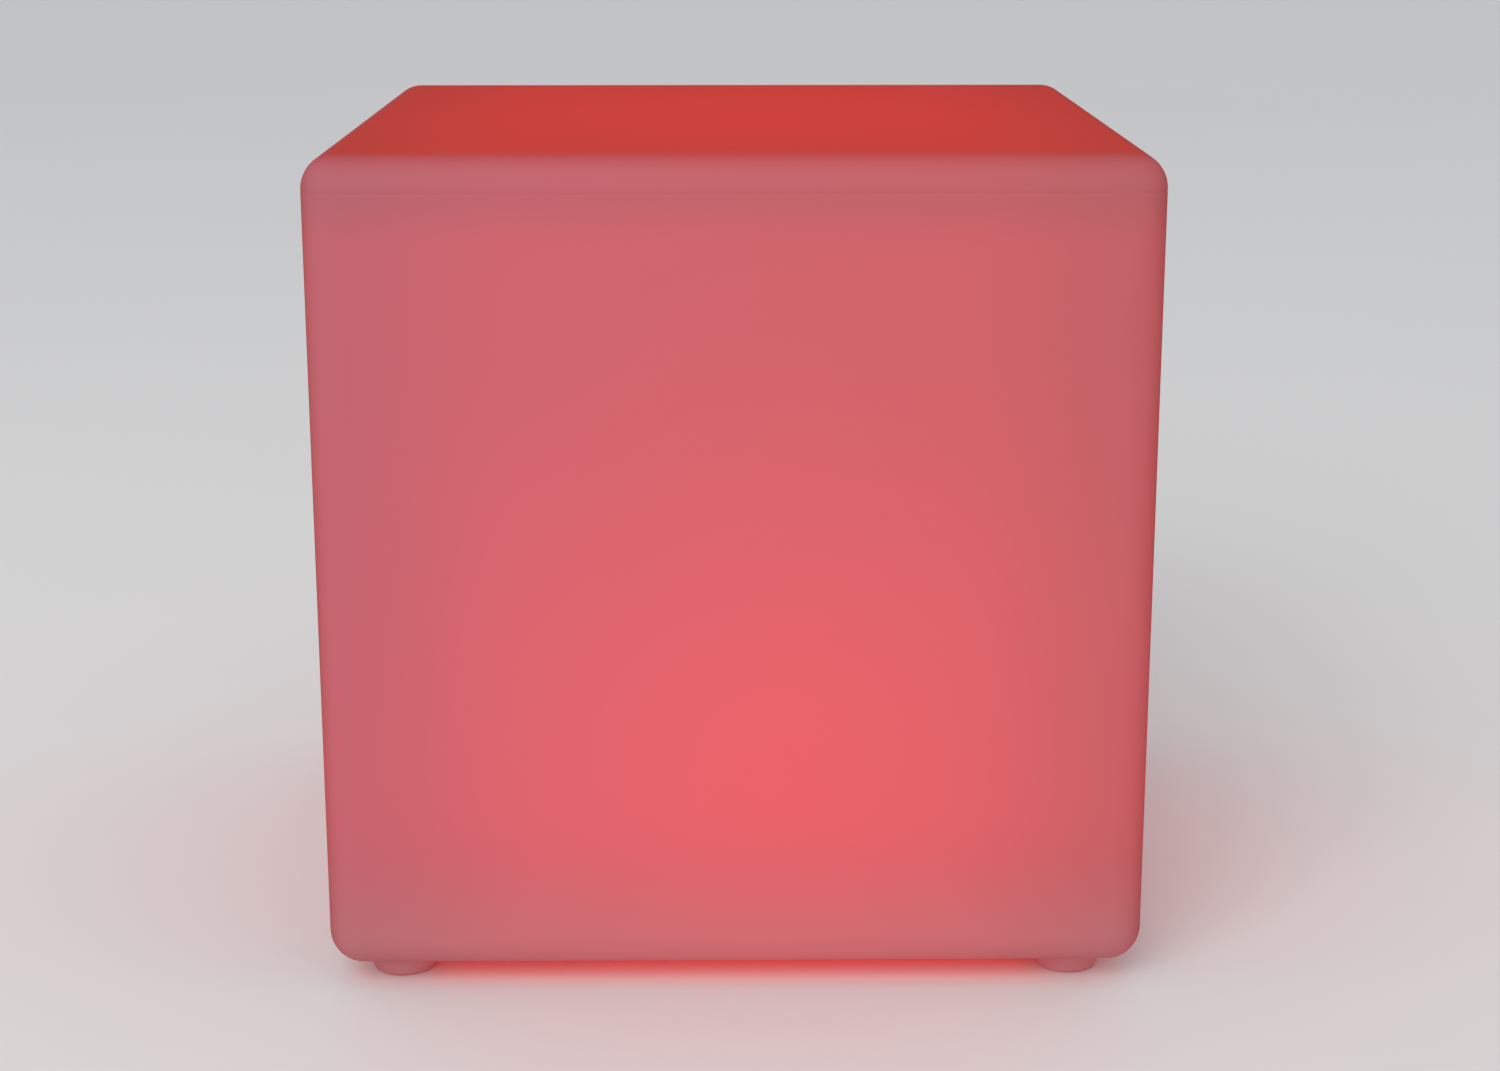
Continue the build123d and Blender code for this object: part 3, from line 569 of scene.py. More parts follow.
# %% Sections carried along a path
def spline_points(route, resolution=8):
    """Points of the smooth curve that the route's points steer."""
    curve = bpy.data.curves.new("route", "CURVE")
    curve.dimensions = "3D"
    curve.resolution_u = resolution
    spline = curve.splines.new("NURBS")
    spline.points.add(len(route) - 1)
    for point, place in zip(spline.points, route):
        point.co = (*place, 1.0)
    spline.order_u = 3
    spline.use_endpoint_u = True
    holder = bpy.data.objects.new("route", curve)
    mesh = bpy.data.meshes.new_from_object(holder)
    found = np.empty(len(mesh.vertices) * 3)
    mesh.vertices.foreach_get("co", found)
    bpy.data.objects.remove(holder)
    bpy.data.curves.remove(curve)
    bpy.data.meshes.remove(mesh)
    return found.reshape(-1, 3)


def swept(path, section, across):
    """Each (u, v) of the section goes to p + u * across + v * (t x across), for the path's p and t."""
    path, across = np.array(path, dtype=float), np.array(across)
    along = np.gradient(path, axis=0)
    along /= np.linalg.norm(along, axis=1, keepdims=True)
    u, v = np.array(section).T[:, :, None]
    body = path[:, None] + u * across + v * np.cross(along, across)[:, None]
    ends = np.broadcast_to(path[[0, -1], None], (2,) + body.shape[1:])
    return np.concatenate([ends[:1], body, ends[1:]])


# %% [markdown]
# ## Screws
#
# A screw can be modelled with the Screw modifier, or as one formula. Here each ring of points has a
# radius for every angle. On the head's face the ring is a cross: at any angle the cross reaches as
# far as the longer of its two bars. On the shank the radius goes up and down once per pitch, and
# it lags by one pitch per turn, which makes the thread a helix. Both are rows of the same grid.

# %% Cross-slotted screws
HEAD_HEIGHT = 1.8 * MM
BIG, SMALL = (*mm(1.5, 2.8), HEAD_HEIGHT), mm(1.25, 2.2, 1.4)
CROSS_WIDTH, CROSS_REACH, CROSS_DEPTH, CROSS_STEPS = 0.17, 0.62, 0.55, 3
PITCH, THREAD_DEPTH = mm(0.5, 0.28)


def cross_angles(half_width, half_length):
    """Angles once round that meet every corner of the cross, with steps between them."""
    tip = math.atan2(half_width, half_length)
    bounds = np.array([-tip, tip, math.pi / 4, math.pi / 2 - tip])
    steps = np.linspace(bounds[:-1], bounds[1:], CROSS_STEPS, endpoint=False).T.ravel()
    return (steps + np.arange(4)[:, None] * (math.pi / 2)).ravel()


def screw_grid(length, radius, head, head_height):
    """A screw along Z with its head up: r(angle, row) and z(row), from the recess down to the tip."""
    bar = CROSS_REACH * head, CROSS_WIDTH * head
    angle = cross_angles(*bar[::-1])
    along, across = (np.maximum(np.abs(part), 1e-9) for part in (np.cos(angle), np.sin(angle)))
    cross = np.maximum(*[np.minimum(x / along, y / across) for x, y in (bar, bar[::-1])])
    floor = head_height * (1 - CROSS_DEPTH)
    root = radius - THREAD_DEPTH
    side = softened(stepped(0.93 * head, head_height, head, 0.0, root, -2 * PITCH), 0.35 * MM)
    turns = np.arange(-2.25 * PITCH, -length + 1.5 * PITCH, -PITCH / 4)
    phase = (turns[:, None] / PITCH + angle / (2 * math.pi)) % 1
    fade = np.clip((-1.5 * PITCH - turns) / PITCH, 0, 1) * np.clip((turns + length) / (3 * PITCH), 0, 1)
    thread = root + THREAD_DEPTH * np.abs(2 * phase - 1) * fade[:, None]
    tip = np.array([(0.7 * radius, 0.4 * MM - length), (0.5 * radius, -length), (0.0, -length)])
    rows = [0 * cross, 0.55 * cross, cross, *(side[:, :1] + 0 * angle), *thread, *(tip[:, :1] + 0 * angle)]
    rise = np.concatenate([[floor, floor, head_height], side[:, 1], turns, tip[:, 1]])
    return raised(np.array(rows)[..., None] * np.stack([np.cos(angle), np.sin(angle)], axis=-1), rise)


def build_screws(node, length, size, signs, heads_down=False):
    """Screws of a size (shank, head, head's height) at each pair of signs, as far out as the box reaches."""
    shank, head, head_height = size
    places = (high(node)[:2] - head) * np.array(signs)
    bearing = low(node)[2] + head_height if heads_down else high(node)[2] - head_height
    screw = screw_grid(length, shank, head, head_height) * ((1, -1, -1) if heads_down else (1, 1, 1))
    build(node, [screw + (*place, bearing) for place in places])
    return places


corners = ((1, 1), (-1, 1), (-1, -1), (1, -1))
base_screws = build_screws("base_screws", 8.0 * MM, BIG, corners, heads_down=True)
cup_screws = build_screws("cup_screws", 10.0 * MM, BIG, ((0, 1), (0, -1)), heads_down=True)
posts = build_screws("battery_screws", 16.0 * MM, BIG, ((1, 1), (-1, -1)))
standoffs = build_screws("control_board_screws", 5.0 * MM, SMALL, ((1, -1), (-1, 1)))

# %% [markdown]
# ## The button and the port cover
#
# These two are what a hand finds under the cube. The button is turned: a cap with a shallow dish
# for the fingertip, and a stem with grooves for its seal and its clip. The port cover is a soft
# rubber moulding: a flap, a hollow rim that plugs the port, a pull tab and a strap that bends.

# %% Button and its seal ring
BUTTON = (middle("power_button")[0], 0.0)
CAP, CAP_THICK, DISH, DISH_DEPTH = mm(7.0, 2.2, 5.0, 0.4)
STEM, SEAL_ROOT, CLIP_ROOT, SEAL_OUTER = mm(2.5, 1.3, 2.0, 2.54)
cap_low, stem_top = heights("power_button")
seal_low, seal_high = heights("button_seal")
clip_low, clip_high = heights("button_clip")


def dish(radius, height, depth, steps=6):
    """Profile points of a shallow bowl that opens downwards: z = height + depth (1 - (r / radius)^2)."""
    r = np.linspace(0, radius, steps)
    return np.column_stack([r, height + depth * (1 - (r / radius) ** 2)])


button_outline = stepped(
    DISH, cap_low, CAP, cap_low + CAP_THICK, STEM, seal_low, SEAL_ROOT, seal_high,
    STEM, clip_low, CLIP_ROOT, clip_high, STEM, stem_top, 0.0,
)
button_profile = [dish(DISH, cap_low, DISH_DEPTH), softened(button_outline, 0.6 * MM, 4)[1:]]
build("power_button", [lathe(np.concatenate(button_profile), 96, BUTTON)])
build("button_seal", [tube(SEAL_OUTER, SEAL_ROOT, seal_low, seal_high, BUTTON, 0.3 * MM, 64)])

# %% Port cover: the flap with its rim, the pull tab and the strap
PORT = (16.0 * MM, 0.0)
FLAP, FLAP_CORNER, FLAP_THICK = mm(11.0, 16.8), 3.7 * MM, 1.4 * MM
RIM, RIM_WALL, STRAP, STRAP_THICK = mm(2.05, 1.0, 6.0, 1.0)
flap_low, rim_top = heights("port_cover")
flap_top, half_flap = flap_low + FLAP_THICK, FLAP[0] / 2


def across_port(start, end, corner, bottom, top, edge):
    """A band of the strap's width that lies along X from start to end."""
    return soft_block((end - start, STRAP), corner, bottom, top, edge, ((start + end) / 2, 0.0))


flap_outline = stepped(half_flap, flap_low, 0, flap_top, RIM, rim_top, RIM + RIM_WALL, flap_top, half_flap)
flap = soft_box(FLAP, FLAP_CORNER, softened(flap_outline, 0.4 * MM), PORT)
sunk = half_flap - 1.0 * MM
tab_span = (low("port_cover")[0], PORT[0] - sunk)
tab = across_port(*tab_span, 1.2 * MM, flap_low + 0.1 * MM, flap_top - 0.1 * MM, 0.35 * MM)
strap_low = flap_low + (FLAP_THICK - STRAP_THICK) / 2
strap_span = (PORT[0] + sunk, high("port_cover")[0])
strap = across_port(*strap_span, 0.5 * MM, strap_low, strap_low + STRAP_THICK, 0.45 * MM)
build("port_cover", [flap, tab, strap])

# %% The strap's anchor, with a barb above the plate
DISC, ANCHOR_STEM, BARB, BARB_HEIGHT = mm(3.4, 1.5, 2.5, 1.4)
ANCHOR = (high("port_cover_anchor")[0] - DISC, 0.0)
plate_bottom, post_top = heights("base_plate")
anchor_low, barb_top = heights("port_cover_anchor")
barb_low = barb_top - BARB_HEIGHT
anchor_outline = stepped(0, anchor_low, DISC, plate_bottom, ANCHOR_STEM, barb_low, BARB)
anchor_outline += [(ANCHOR_STEM, barb_top), (0, barb_top)]
strap_low = anchor_low + 0.08 * MM
strap_span = (low("port_cover_anchor")[0], ANCHOR[0])
strap = across_port(*strap_span, 0.5 * MM, strap_low, strap_low + STRAP_THICK, 0.4 * MM)
build("port_cover_anchor", [lathe(softened(anchor_outline, 0.35 * MM), 64, ANCHOR), strap])

# %% [markdown]
# ## Plates with holes
#
# A plate is an outline, some holes and two flat faces. Each loop of points gets a soft-edged wall of
# its own, a grid again, and the two faces are filled between the walls' last rows. Blender's
# triangle fill finds the triangles, so that no boolean is needed. On a flat face long triangles
# don't show.

# %% Loops, walls and filled faces
SOFT, SOFTER = mm(0.15, 0.3)


def box_loop(size, corner, centre=(0.0, 0.0), turn=0.0):
    """Points of a rounded rectangle, turned about the origin."""
    return turned_about(ringed([(*size, corner, 0.0)], centre)[0], turn)[:, :2]


def filled(loops, height):
    """Triangles between an outline and its holes at one height."""
    starts = np.cumsum([0] + [len(loop) for loop in loops])
    points = raised(np.concatenate(loops)[None], height)[0]
    steps = [start + np.arange(len(loop)) for start, loop in zip(starts, loops)]
    edges = np.concatenate([np.stack([step, np.roll(step, -1)], axis=-1) for step in steps])
    mesh = bpy.data.meshes.new("filled")
    mesh.from_pydata(points.tolist(), edges.tolist(), [])
    work = bmesh.new()
    work.from_mesh(mesh)
    bmesh.ops.triangle_fill(work, use_beauty=True, use_dissolve=False, edges=work.edges[:], normal=(0, 0, 1))
    work.to_mesh(mesh)
    work.free()
    triangles = np.empty(len(mesh.loops), dtype=int)
    mesh.loops.foreach_get("vertex_index", triangles)
    bpy.data.meshes.remove(mesh)
    return points, triangles.reshape(-1, 3)


def wall(loop, bottom, top, edge=SOFT, hole=True):
    """A soft-edged wall up a loop. Its first and last rows lie a little into the plate's material."""
    inset, height = softened(stepped(2 * edge, bottom, 0, top, 2 * edge), edge).T
    ahead = np.roll(loop, -1, axis=0) - np.roll(loop, 1, axis=0)
    ahead /= np.linalg.norm(ahead, axis=1, keepdims=True)
    inwards = np.stack([-ahead[:, 1], ahead[:, 0]], axis=-1) * (-1 if hole else 1)
    return raised(loop + inset[:, None, None] * inwards, height)


def build_plate(node, walls, others=(), material=None):
    """Joins the walls with a lower face between their first rows and an upper one between their last."""
    patches = [filled([grid[row, :, :2] for grid in walls], walls[0][row, 0, 2]) for row in (0, -1)]
    build(node, [*walls, *others], material, patches=patches)


# %% [markdown]
# ## The base plate and the cup that carries the light
#
# The base plate closes the shell's opening. Its flange has a counterbore for every screw, the
# button's well and the port's recess. Above it stand the supports of everything inside. The cup
# stands on it like an upturned pot, and the light board and the dome sit on the cup's deck.

# %% Base plate: a wall round its edge and round each opening
# APRON and NARROW are how far a wall's first and last rows reach into the flat faces.
FLANGE, FLANGE_THICK, BEVEL, APRON, NARROW = high("base_plate")[0], 3.0 * MM, 0.6 * MM, 0.5 * MM, 0.4 * MM
WELL, WELL_DEPTH, WELL_WALL = mm(7.25, 3.2, 1.4)
GUIDE_BORE, GUIDE_OUTER, CLIP_GAP = mm(2.58, 4.38, 0.05)
PIPE_BORE, COLLAR, COLLAR_HEIGHT = mm(1.55, 2.95, 4.0)
PORT_RECESS, SOCKET_SLOT = mm(7.6, 13.4, 2.0), mm(3.56, 9.24, 1.78)
COUNTERBORE, PASSAGE = mm(3.1, 1.7)
plate_top, head_seat = plate_bottom + FLANGE_THICK, low("base_screws")[2] + HEAD_HEIGHT
well_top, guide_top, collar_top = cap_low + WELL_DEPTH, clip_low - CLIP_GAP, plate_top + COLLAR_HEIGHT
port_ceiling = low("charge_socket")[2]
edge_outline = [(FLANGE - BEVEL - 3 * SOFTER, plate_bottom), (FLANGE - BEVEL, plate_bottom)]
edge_outline += [(FLANGE, plate_bottom + BEVEL), (FLANGE, plate_top), (FLANGE - 2 * APRON, plate_top)]
well_outline = stepped(
    WELL + APRON, plate_bottom, WELL, well_top, GUIDE_BORE, guide_top, GUIDE_OUTER, well_top + WELL_WALL,
    WELL + WELL_WALL, plate_top, WELL + 2 * WELL_WALL,
)
pipe_outline = stepped(
    PIPE_BORE + NARROW, plate_bottom, PIPE_BORE, collar_top, COLLAR, plate_top, COLLAR + APRON,
)
hole_outline = stepped(
    COUNTERBORE + NARROW, plate_bottom, COUNTERBORE, head_seat, PASSAGE, plate_top, PASSAGE + NARROW,
)


def grown(outline, margin):
    """A rounded rectangle (length, width, corner) with a margin all round."""
    return outline[0] + 2 * margin, outline[1] + 2 * margin, outline[2] + margin


port_outside = grown(PORT_RECESS, WELL_WALL)
port_rows = stepped(
    grown(PORT_RECESS, APRON), plate_bottom, PORT_RECESS, port_ceiling, SOCKET_SLOT, port_ceiling + WELL_WALL,
    port_outside, plate_top, grown(port_outside, APRON),
)
port_rows = [(*outline, height) for outline, height in port_rows]
plate_walls = [lathe(softened(edge_outline, SOFTER), 192), lathe(softened(well_outline, SOFTER), 96, BUTTON)]
plate_walls += [lathe(softened(pipe_outline, SOFT)), ringed(softened(port_rows, SOFTER), PORT)]
plate_walls += [wall(round_loop(ANCHOR_STEM + 0.05 * MM, ANCHOR), plate_bottom, plate_top)]
plate_walls += [lathe(softened(hole_outline, SOFT), centre=place) for place in [*base_screws, *cup_screws]]

# %% Base plate: posts with gussets, standoffs, rests and locating lugs
POST, POST_BORE, STANDOFF, SMALL_BORE, REST = mm(3.0, 1.55, 2.8, 1.3, 4.0)
GUSSET_FOOT, GUSSET_HEIGHT, GUSSET_THICK, SUNK = mm(6.0, 9.0, 1.4, 0.1)
LUG, LUG_HEIGHT, LUG_GAP, CUP_WALL = mm(5.0, 1.6), 5.0 * MM, 0.17 * MM, 2.0 * MM
board_bottom, board_top = heights("control_board")
cup_outer = high("light_cup")[0]
cup_inner = cup_outer - CUP_WALL


def gussets(x, y):
    """A sloping web on each side of a post."""
    inner = POST - 1.0 * MM
    slope = [(GUSSET_FOOT, 0.0), (POST, GUSSET_HEIGHT), (inner, GUSSET_HEIGHT), (inner, 0.0)]
    path = np.linspace((x, y - GUSSET_THICK / 2, plate_top), (x, y + GUSSET_THICK / 2, plate_top), 3)
    return [swept(path, np.array(slope) * (side, -1), (1.0, 0.0, 0.0)) for side in (1, -1)]


supports = []
for post in posts:
    supports += [tube(POST, POST_BORE, plate_top - SUNK, post_top, post), *gussets(*post)]
for standoff in standoffs:
    supports += [tube(STANDOFF, SMALL_BORE, plate_top - SUNK, board_bottom, standoff)]
    rest_place = standoff * (1, -1)
    supports += [soft_block((REST, REST), 0.5 * MM, plate_top - SUNK, board_bottom, 0.2 * MM, rest_place)]
lug_place = (cup_inner - LUG_GAP - LUG[0] / 2, 0.0)
lug = soft_block(LUG, 0.3 * MM, plate_top - SUNK, plate_top + LUG_HEIGHT, 0.25 * MM, lug_place)
supports += [turned_about(lug, angle) for angle in (45, 135, 225, 315)]
build_plate("base_plate", plate_walls, supports)

# %% Gasket
gasket_span = heights("base_gasket")
gasket_walls = [wall(round_loop(high("base_gasket")[0], steps=192), *gasket_span, hole=False)]
gasket_walls += [wall(round_loop(OPENING + 1.0 * MM, steps=192), *gasket_span)]
gasket_walls += [wall(round_loop(PASSAGE, place), *gasket_span) for place in base_screws]
build_plate("base_gasket", gasket_walls)

# %% Cup, with openings in its deck for the header and for the dome's clips
DECK, HEADER_OPENING, CLIPS = 2.0 * MM, mm(11.0, 5.6), (60, 180, 300)
BOARD = high("led_board")[0]
DOME_SEAT, DOME_INNER, DOME_OUTER = BOARD + 0.3 * MM, BOARD - 1.2 * MM, BOARD + 2.1 * MM
SLOT, SLOT_MIDDLE = mm(2.3, 6.3), (DOME_OUTER + 0.2 * MM, 0.0)
deck_top, led_board_top = heights("led_board")
deck_bottom = deck_top - DECK
header_y = middle("led_header")[1]
cup_outline = stepped(cup_inner - 1.5 * MM, deck_bottom, cup_inner, plate_top, cup_outer, deck_top, cup_inner)
openings = [box_loop(HEADER_OPENING, 0.5 * MM, (0.0, header_y))]
openings += [box_loop(SLOT, 0.4 * MM, SLOT_MIDDLE, angle) for angle in CLIPS]
cup_walls = [lathe(softened(cup_outline, 0.6 * MM), 192)]
cup_walls += [wall(opening, deck_bottom, deck_top) for opening in openings]
boss_top = high("cup_screws")[2] + 3.0 * MM
bosses = [tube(3.5 * MM, POST_BORE, plate_top, boss_top, place) for place in cup_screws]
build_plate("light_cup", cup_walls, bosses)

# %% Light board and dome
DOME_WALL, DOME_SHOULDER = mm(1.8, 4.0)
LEG_THICK, LEG_WIDTH, HOOK, HOOK_HEIGHT = mm(1.2, 6.0, 0.8, 1.2)
build("led_board", [rod(BOARD, deck_top, led_board_top, SOFT, 144)])
hook_low, crown = heights("light_dome")


def lit_dome():
    """Frosted plastic over the lights: brightest near its middle, darker down the side."""
    recipe = Recipe("lit_dome")
    x, y, z = recipe.xyz()
    outwards = (x * x + y * y) ** 0.5
    level = (1 - outwards.ramp(0.4 * DOME_OUTER, DOME_OUTER) * 0.35) * (0.55 + z.ramp(deck_top, crown) * 0.45)
    fine = recipe.noise(0.4 * MM)
    base = recipe.mix(fine, (0.33, 0.19, 0.185), (0.37, 0.22, 0.21))
    return recipe.finish(base, 0.55, fine, depth=0.02 * MM, glow=((0.50, 0.02, 0.022), level))


skirt = stepped(0, crown - DOME_WALL, DOME_INNER, led_board_top, DOME_SEAT, deck_top, DOME_OUTER, crown)
shoulder = softened([(DOME_OUTER, deck_top), (DOME_OUTER, crown), (0, crown)], DOME_SHOULDER, 8)
dome_profile = np.concatenate([softened(skirt, SOFTER)[:-1], shoulder[1:]])
leg_top, leg_x = deck_top + LEG_WIDTH / 2, DOME_OUTER + LEG_THICK / 2
hook_size, hook_x = (HOOK + 0.4 * MM, LEG_WIDTH - 0.1 * MM), DOME_OUTER - HOOK / 2 + 0.2 * MM
leg = [soft_block((LEG_THICK, LEG_WIDTH), 0.25 * MM, hook_low, leg_top, 0.2 * MM, (leg_x, 0.0))]
root_x = DOME_OUTER - DOME_WALL / 3
leg += [soft_block((DOME_WALL, LEG_WIDTH), 0.25 * MM, deck_top, leg_top, 0.2 * MM, (root_x, 0.0))]
hook_span = hook_low + 0.02 * MM, hook_low + HOOK_HEIGHT
leg += [soft_block(hook_size, 0.2 * MM, *hook_span, 0.2 * MM, (hook_x, 0.0))]
legs = [turned_about(grid, angle) for angle in CLIPS for grid in leg]
build("light_dome", [lathe(dome_profile, 144), *legs], material=lit_dome())

# %% [markdown]
# ## Cells, leads and the parts on the boards
#
# A rechargeable cell is a steel can in a shrunk sleeve. The sleeve grips round both ends, and a
# groove near the positive end holds the seal. Sleeve and steel are one surface here, and the material
# tells them apart by the distance from the cell's axis. The chips do the same: what stands out of
# the moulded body is a tinned leg. The leads are smooth curves whose control points are the CAD
# route's, because a bent wire has no corners.

# %% A finish in two materials
TIN, NICKEL, GOLD = (0.70, 0.70, 0.68), (0.66, 0.63, 0.58), (0.75, 0.55, 0.22)


def part_metal(name, base, metal, bare_where, rough=0.35):
    """The base finish, and metal where bare_where(x, y, z) is 1."""
    recipe = Recipe(name)
    bare = bare_where(*recipe.xyz())
    painted = recipe.mix(recipe.noise(CLOUD, detail=3.0), [part * 0.9 for part in base], base)
    grain = recipe.noise(GRAIN)
    return recipe.finish(recipe.mix(bare, painted, metal), rough, grain, 0.12, depth=0.01 * MM, Metallic=bare)


# %% Battery cells
SLEEVE_END, CAP_HEIGHT, POLE = mm(7.6, 1.2, 3.4)
GROOVE = 0.5 * MM
CELL = size_of("battery_cell_right")[1] / 2
cell_start = low("battery_cell_right")[0]
cell_end, cell_y, cell_z = high("battery_cell_right") - (0.0, CELL, CELL)
can_end = cell_end - CAP_HEIGHT


def bare_can(x, y, z):
    """1 on the steel that the sleeve leaves bare, at both ends."""
    across, above = abs(y) - cell_y, z - cell_z
    return 1 - ((across * across + above * above) ** 0.5).ramp(SLEEVE_END - 0.1 * MM, SLEEVE_END + 0.1 * MM)


cell_outline = [
    (0, cell_start + 0.2 * MM), (SLEEVE_END - 0.2 * MM, cell_start + 0.2 * MM), (SLEEVE_END, cell_start),
    (CELL, cell_start), (CELL, can_end - 4.6 * MM), (CELL - GROOVE, can_end - 3.9 * MM),
    (CELL - GROOVE, can_end - 3.3 * MM), (CELL, can_end - 2.6 * MM), (CELL, can_end), (SLEEVE_END, can_end),
    (SLEEVE_END - 0.2 * MM, can_end - 0.3 * MM), (POLE + 1.0 * MM, can_end - 0.5 * MM),
    (POLE, can_end - 0.1 * MM), (POLE, cell_end), (0, cell_end),
]
cell_finish = part_metal("cell_sleeve_and_can", (0.05, 0.16, 0.36), NICKEL, bare_can, rough=0.3)
lying_cell = lathe(softened(cell_outline, GROOVE), 96)[..., [2, 0, 1]]
for node, side in (("battery_cell_left", -1), ("battery_cell_right", 1)):
    build(node, [lying_cell + (0.0, side * cell_y, cell_z)], material=cell_finish)

# %% Battery leads
LEAD, LEAD_DROP, LEAD_ENTRY = mm(0.65, 1.0, 1.5)
socket_top = high("battery_socket")[2]
lead_x, lead_y = high("battery_lead_red")[0], middle("battery_lead_red")[1]
for node, side in (("battery_lead_red", 1), ("battery_lead_black", -1)):
    start, drop = side * lead_x, side * LEAD_DROP
    route = [(start, lead_y, cell_z), (drop, lead_y, cell_z), (drop, lead_y, socket_top)]
    wire = spline_points(route, 24)
    wire = np.concatenate([wire, wire[-1:] - (0.0, 0.0, LEAD_ENTRY)])
    build(node, [swept(wire, round_loop(LEAD, steps=20), (0.0, 1.0, 0.0))])

# %% Flat cable with four wires
STRAIGHT, BOW = mm(3.0, 4.5)
WIRE_PITCH, WIRE_THICK, WEB = mm(1.9, 0.45, 0.16)
header_low = low("led_header")[2]
ribbon_route = [
    (0.0, header_y, header_low), (0.0, header_y, header_low - STRAIGHT),
    (0.0, header_y + BOW, (header_low + socket_top) / 2),
    (0.0, header_y, socket_top + STRAIGHT), (0.0, header_y, socket_top),
]


def scalloped():
    """Once round the cable: half circles of four wires above, and the same below."""
    across = np.linspace(-2 * WIRE_PITCH, 2 * WIRE_PITCH, 65)
    bulge = WEB + (WIRE_THICK - WEB) * np.sqrt(np.maximum(1 - ((across / WIRE_PITCH) % 1 * 2 - 1) ** 2, 0))
    return np.concatenate([np.column_stack([across, bulge]), np.column_stack([across, -bulge])[::-1]])


build("led_ribbon", [swept(spline_points(ribbon_route), scalloped(), (1.0, 0.0, 0.0))], crisp=60)

# %% Chips with bent legs
CHIP_BODY, LEG_PITCH, FOOT_LIFT = mm(3.9, 1.27, 0.12)
LEG_SECTION = np.array([(-0.2, -0.1), (0.2, -0.1), (0.2, 0.1), (-0.2, 0.1)]) * MM


def tinned_legs(x, y, z):
    return abs(y).ramp(CHIP_BODY / 2, CHIP_BODY / 2 + 0.05 * MM)


def leaded_chip(node, legs_a_side, material):
    """A moulded body with gull-wing legs: the leg's path goes out, down and out again."""
    corner, far, centre = low(node), high(node), middle(node)
    body_size = (far[0] - corner[0] - 0.1 * MM, CHIP_BODY)
    grids = [soft_block(body_size, 0.2 * MM, corner[2] + 0.1 * MM, far[2], 0.2 * MM, centre[:2])]
    knee, foot = corner[2] + 0.55 * (far[2] - corner[2]), corner[2] + FOOT_LIFT
    reach = np.array([-0.3 * MM, 0.35 * MM, 0.45 * MM, far[1] - centre[1] - CHIP_BODY / 2]) + CHIP_BODY / 2
    for side in (-1, 1):
        path = softened(np.column_stack([np.zeros(4), side * reach, [knee, knee, foot, foot]]), 0.15 * MM)
        leg = swept(path, LEG_SECTION, (1.0, 0.0, 0.0)) + (*centre[:2], 0.0)
        offsets = (np.arange(legs_a_side) - (legs_a_side - 1) / 2) * LEG_PITCH
        grids += [leg + (offset, 0.0, 0.0) for offset in offsets]
    build(node, grids, material)


chip_finish = part_metal("chip_and_legs", (0.02, 0.02, 0.022), TIN, tinned_legs, rough=0.4)
leaded_chip("controller_chip", 7, chip_finish)
leaded_chip("charge_chip", 4, chip_finish)

# %% Capacitors with tinned ends
CAPACITOR_WIDTH, END_AT = mm(4.2, 3.3)
capacitor_x = middle("capacitors")[0]


def capacitor_ends(x, y, z):
    return abs(x - capacitor_x).ramp(END_AT, END_AT + 0.1 * MM)


def capacitor(y):
    """A moulded body on a lower, slightly longer strip of metal."""
    length, _, height = size_of("capacitors")
    bottom, top = heights("capacitors")
    place, body_size = (capacitor_x, y), (length - 0.5 * MM, CAPACITOR_WIDTH)
    body = soft_block(body_size, 0.2 * MM, bottom + 0.1 * MM, top, 0.3 * MM, place)
    strip_size = (length, 0.55 * CAPACITOR_WIDTH)
    return [body, soft_block(strip_size, 0.1 * MM, bottom, bottom + 0.6 * height, 0.1 * MM, place)]


capacitor_finish = part_metal("capacitor_and_ends", (0.55, 0.26, 0.06), TIN, capacitor_ends, rough=0.4)
first, last = low("capacitors")[1] + CAPACITOR_WIDTH / 2, high("capacitors")[1] - CAPACITOR_WIDTH / 2
build("capacitors", capacitor(first) + capacitor(last), material=capacitor_finish)

# %% Coil in its pot, and the lights
RINGS = ((24.0 * MM, 8), (10.0 * MM, 4))
LIGHT_WELL = 2.1 * MM


def pot(reach, corner, bottom, top, well, depth, post=()):
    """A box with a round well in its top: its rows turn from squares into circles."""
    half = reach - corner
    square = [(0.0, bottom, 0.0), (corner - SOFT, bottom, half), (corner, bottom + SOFT, half)]
    square += [(corner, top - SOFT, half), (corner - SOFT, top, half)]
    turned = [(well + SOFT, top), (well, top - SOFT), (0.85 * well, top - depth), *post]
    rings = [square_ring(*row) for row in square] + [circle_ring(*row) for row in turned]
    return stack_rings(small_loop, rings + [circle_ring(0.0, turned[-1][1])])


def from_light(x, y, ring, count):
    """Distance from the nearest of `count` lights on a ring, the first at half a step from the X axis."""
    recipe, outwards = x.recipe, (x * x + y * y) ** 0.5
    turns = recipe.math("ARCTAN2", y, x) * (count / (2 * math.pi)) + count
    lean = (recipe.math("FRACT", turns) - 0.5) * (2 * math.pi / count)
    radial = outwards * recipe.math("COSINE", lean) - ring
    sideways = outwards * recipe.math("SINE", lean)
    return (radial * radial + sideways * sideways) ** 0.5


def lit_package():
    """White packages whose wells are filled with glowing resin."""
    recipe = Recipe("lit_package")
    x, y, z = recipe.xyz()
    nearest = from_light(x, y, *RINGS[0]).smaller(from_light(x, y, *RINGS[1]))
    well = 1 - nearest.ramp(LIGHT_WELL - 0.25 * MM, LIGHT_WELL)
    bright = 1 - nearest.ramp(0.0, LIGHT_WELL - 0.3 * MM) * 0.4
    base = recipe.mix(well, (0.74, 0.72, 0.68), (0.35, 0.10, 0.08))
    glow = (0.65, 0.04, 0.03), well * bright
    return recipe.finish(base, 0.4 - well * 0.2, recipe.noise(GRAIN), depth=0.01 * MM, glow=glow)


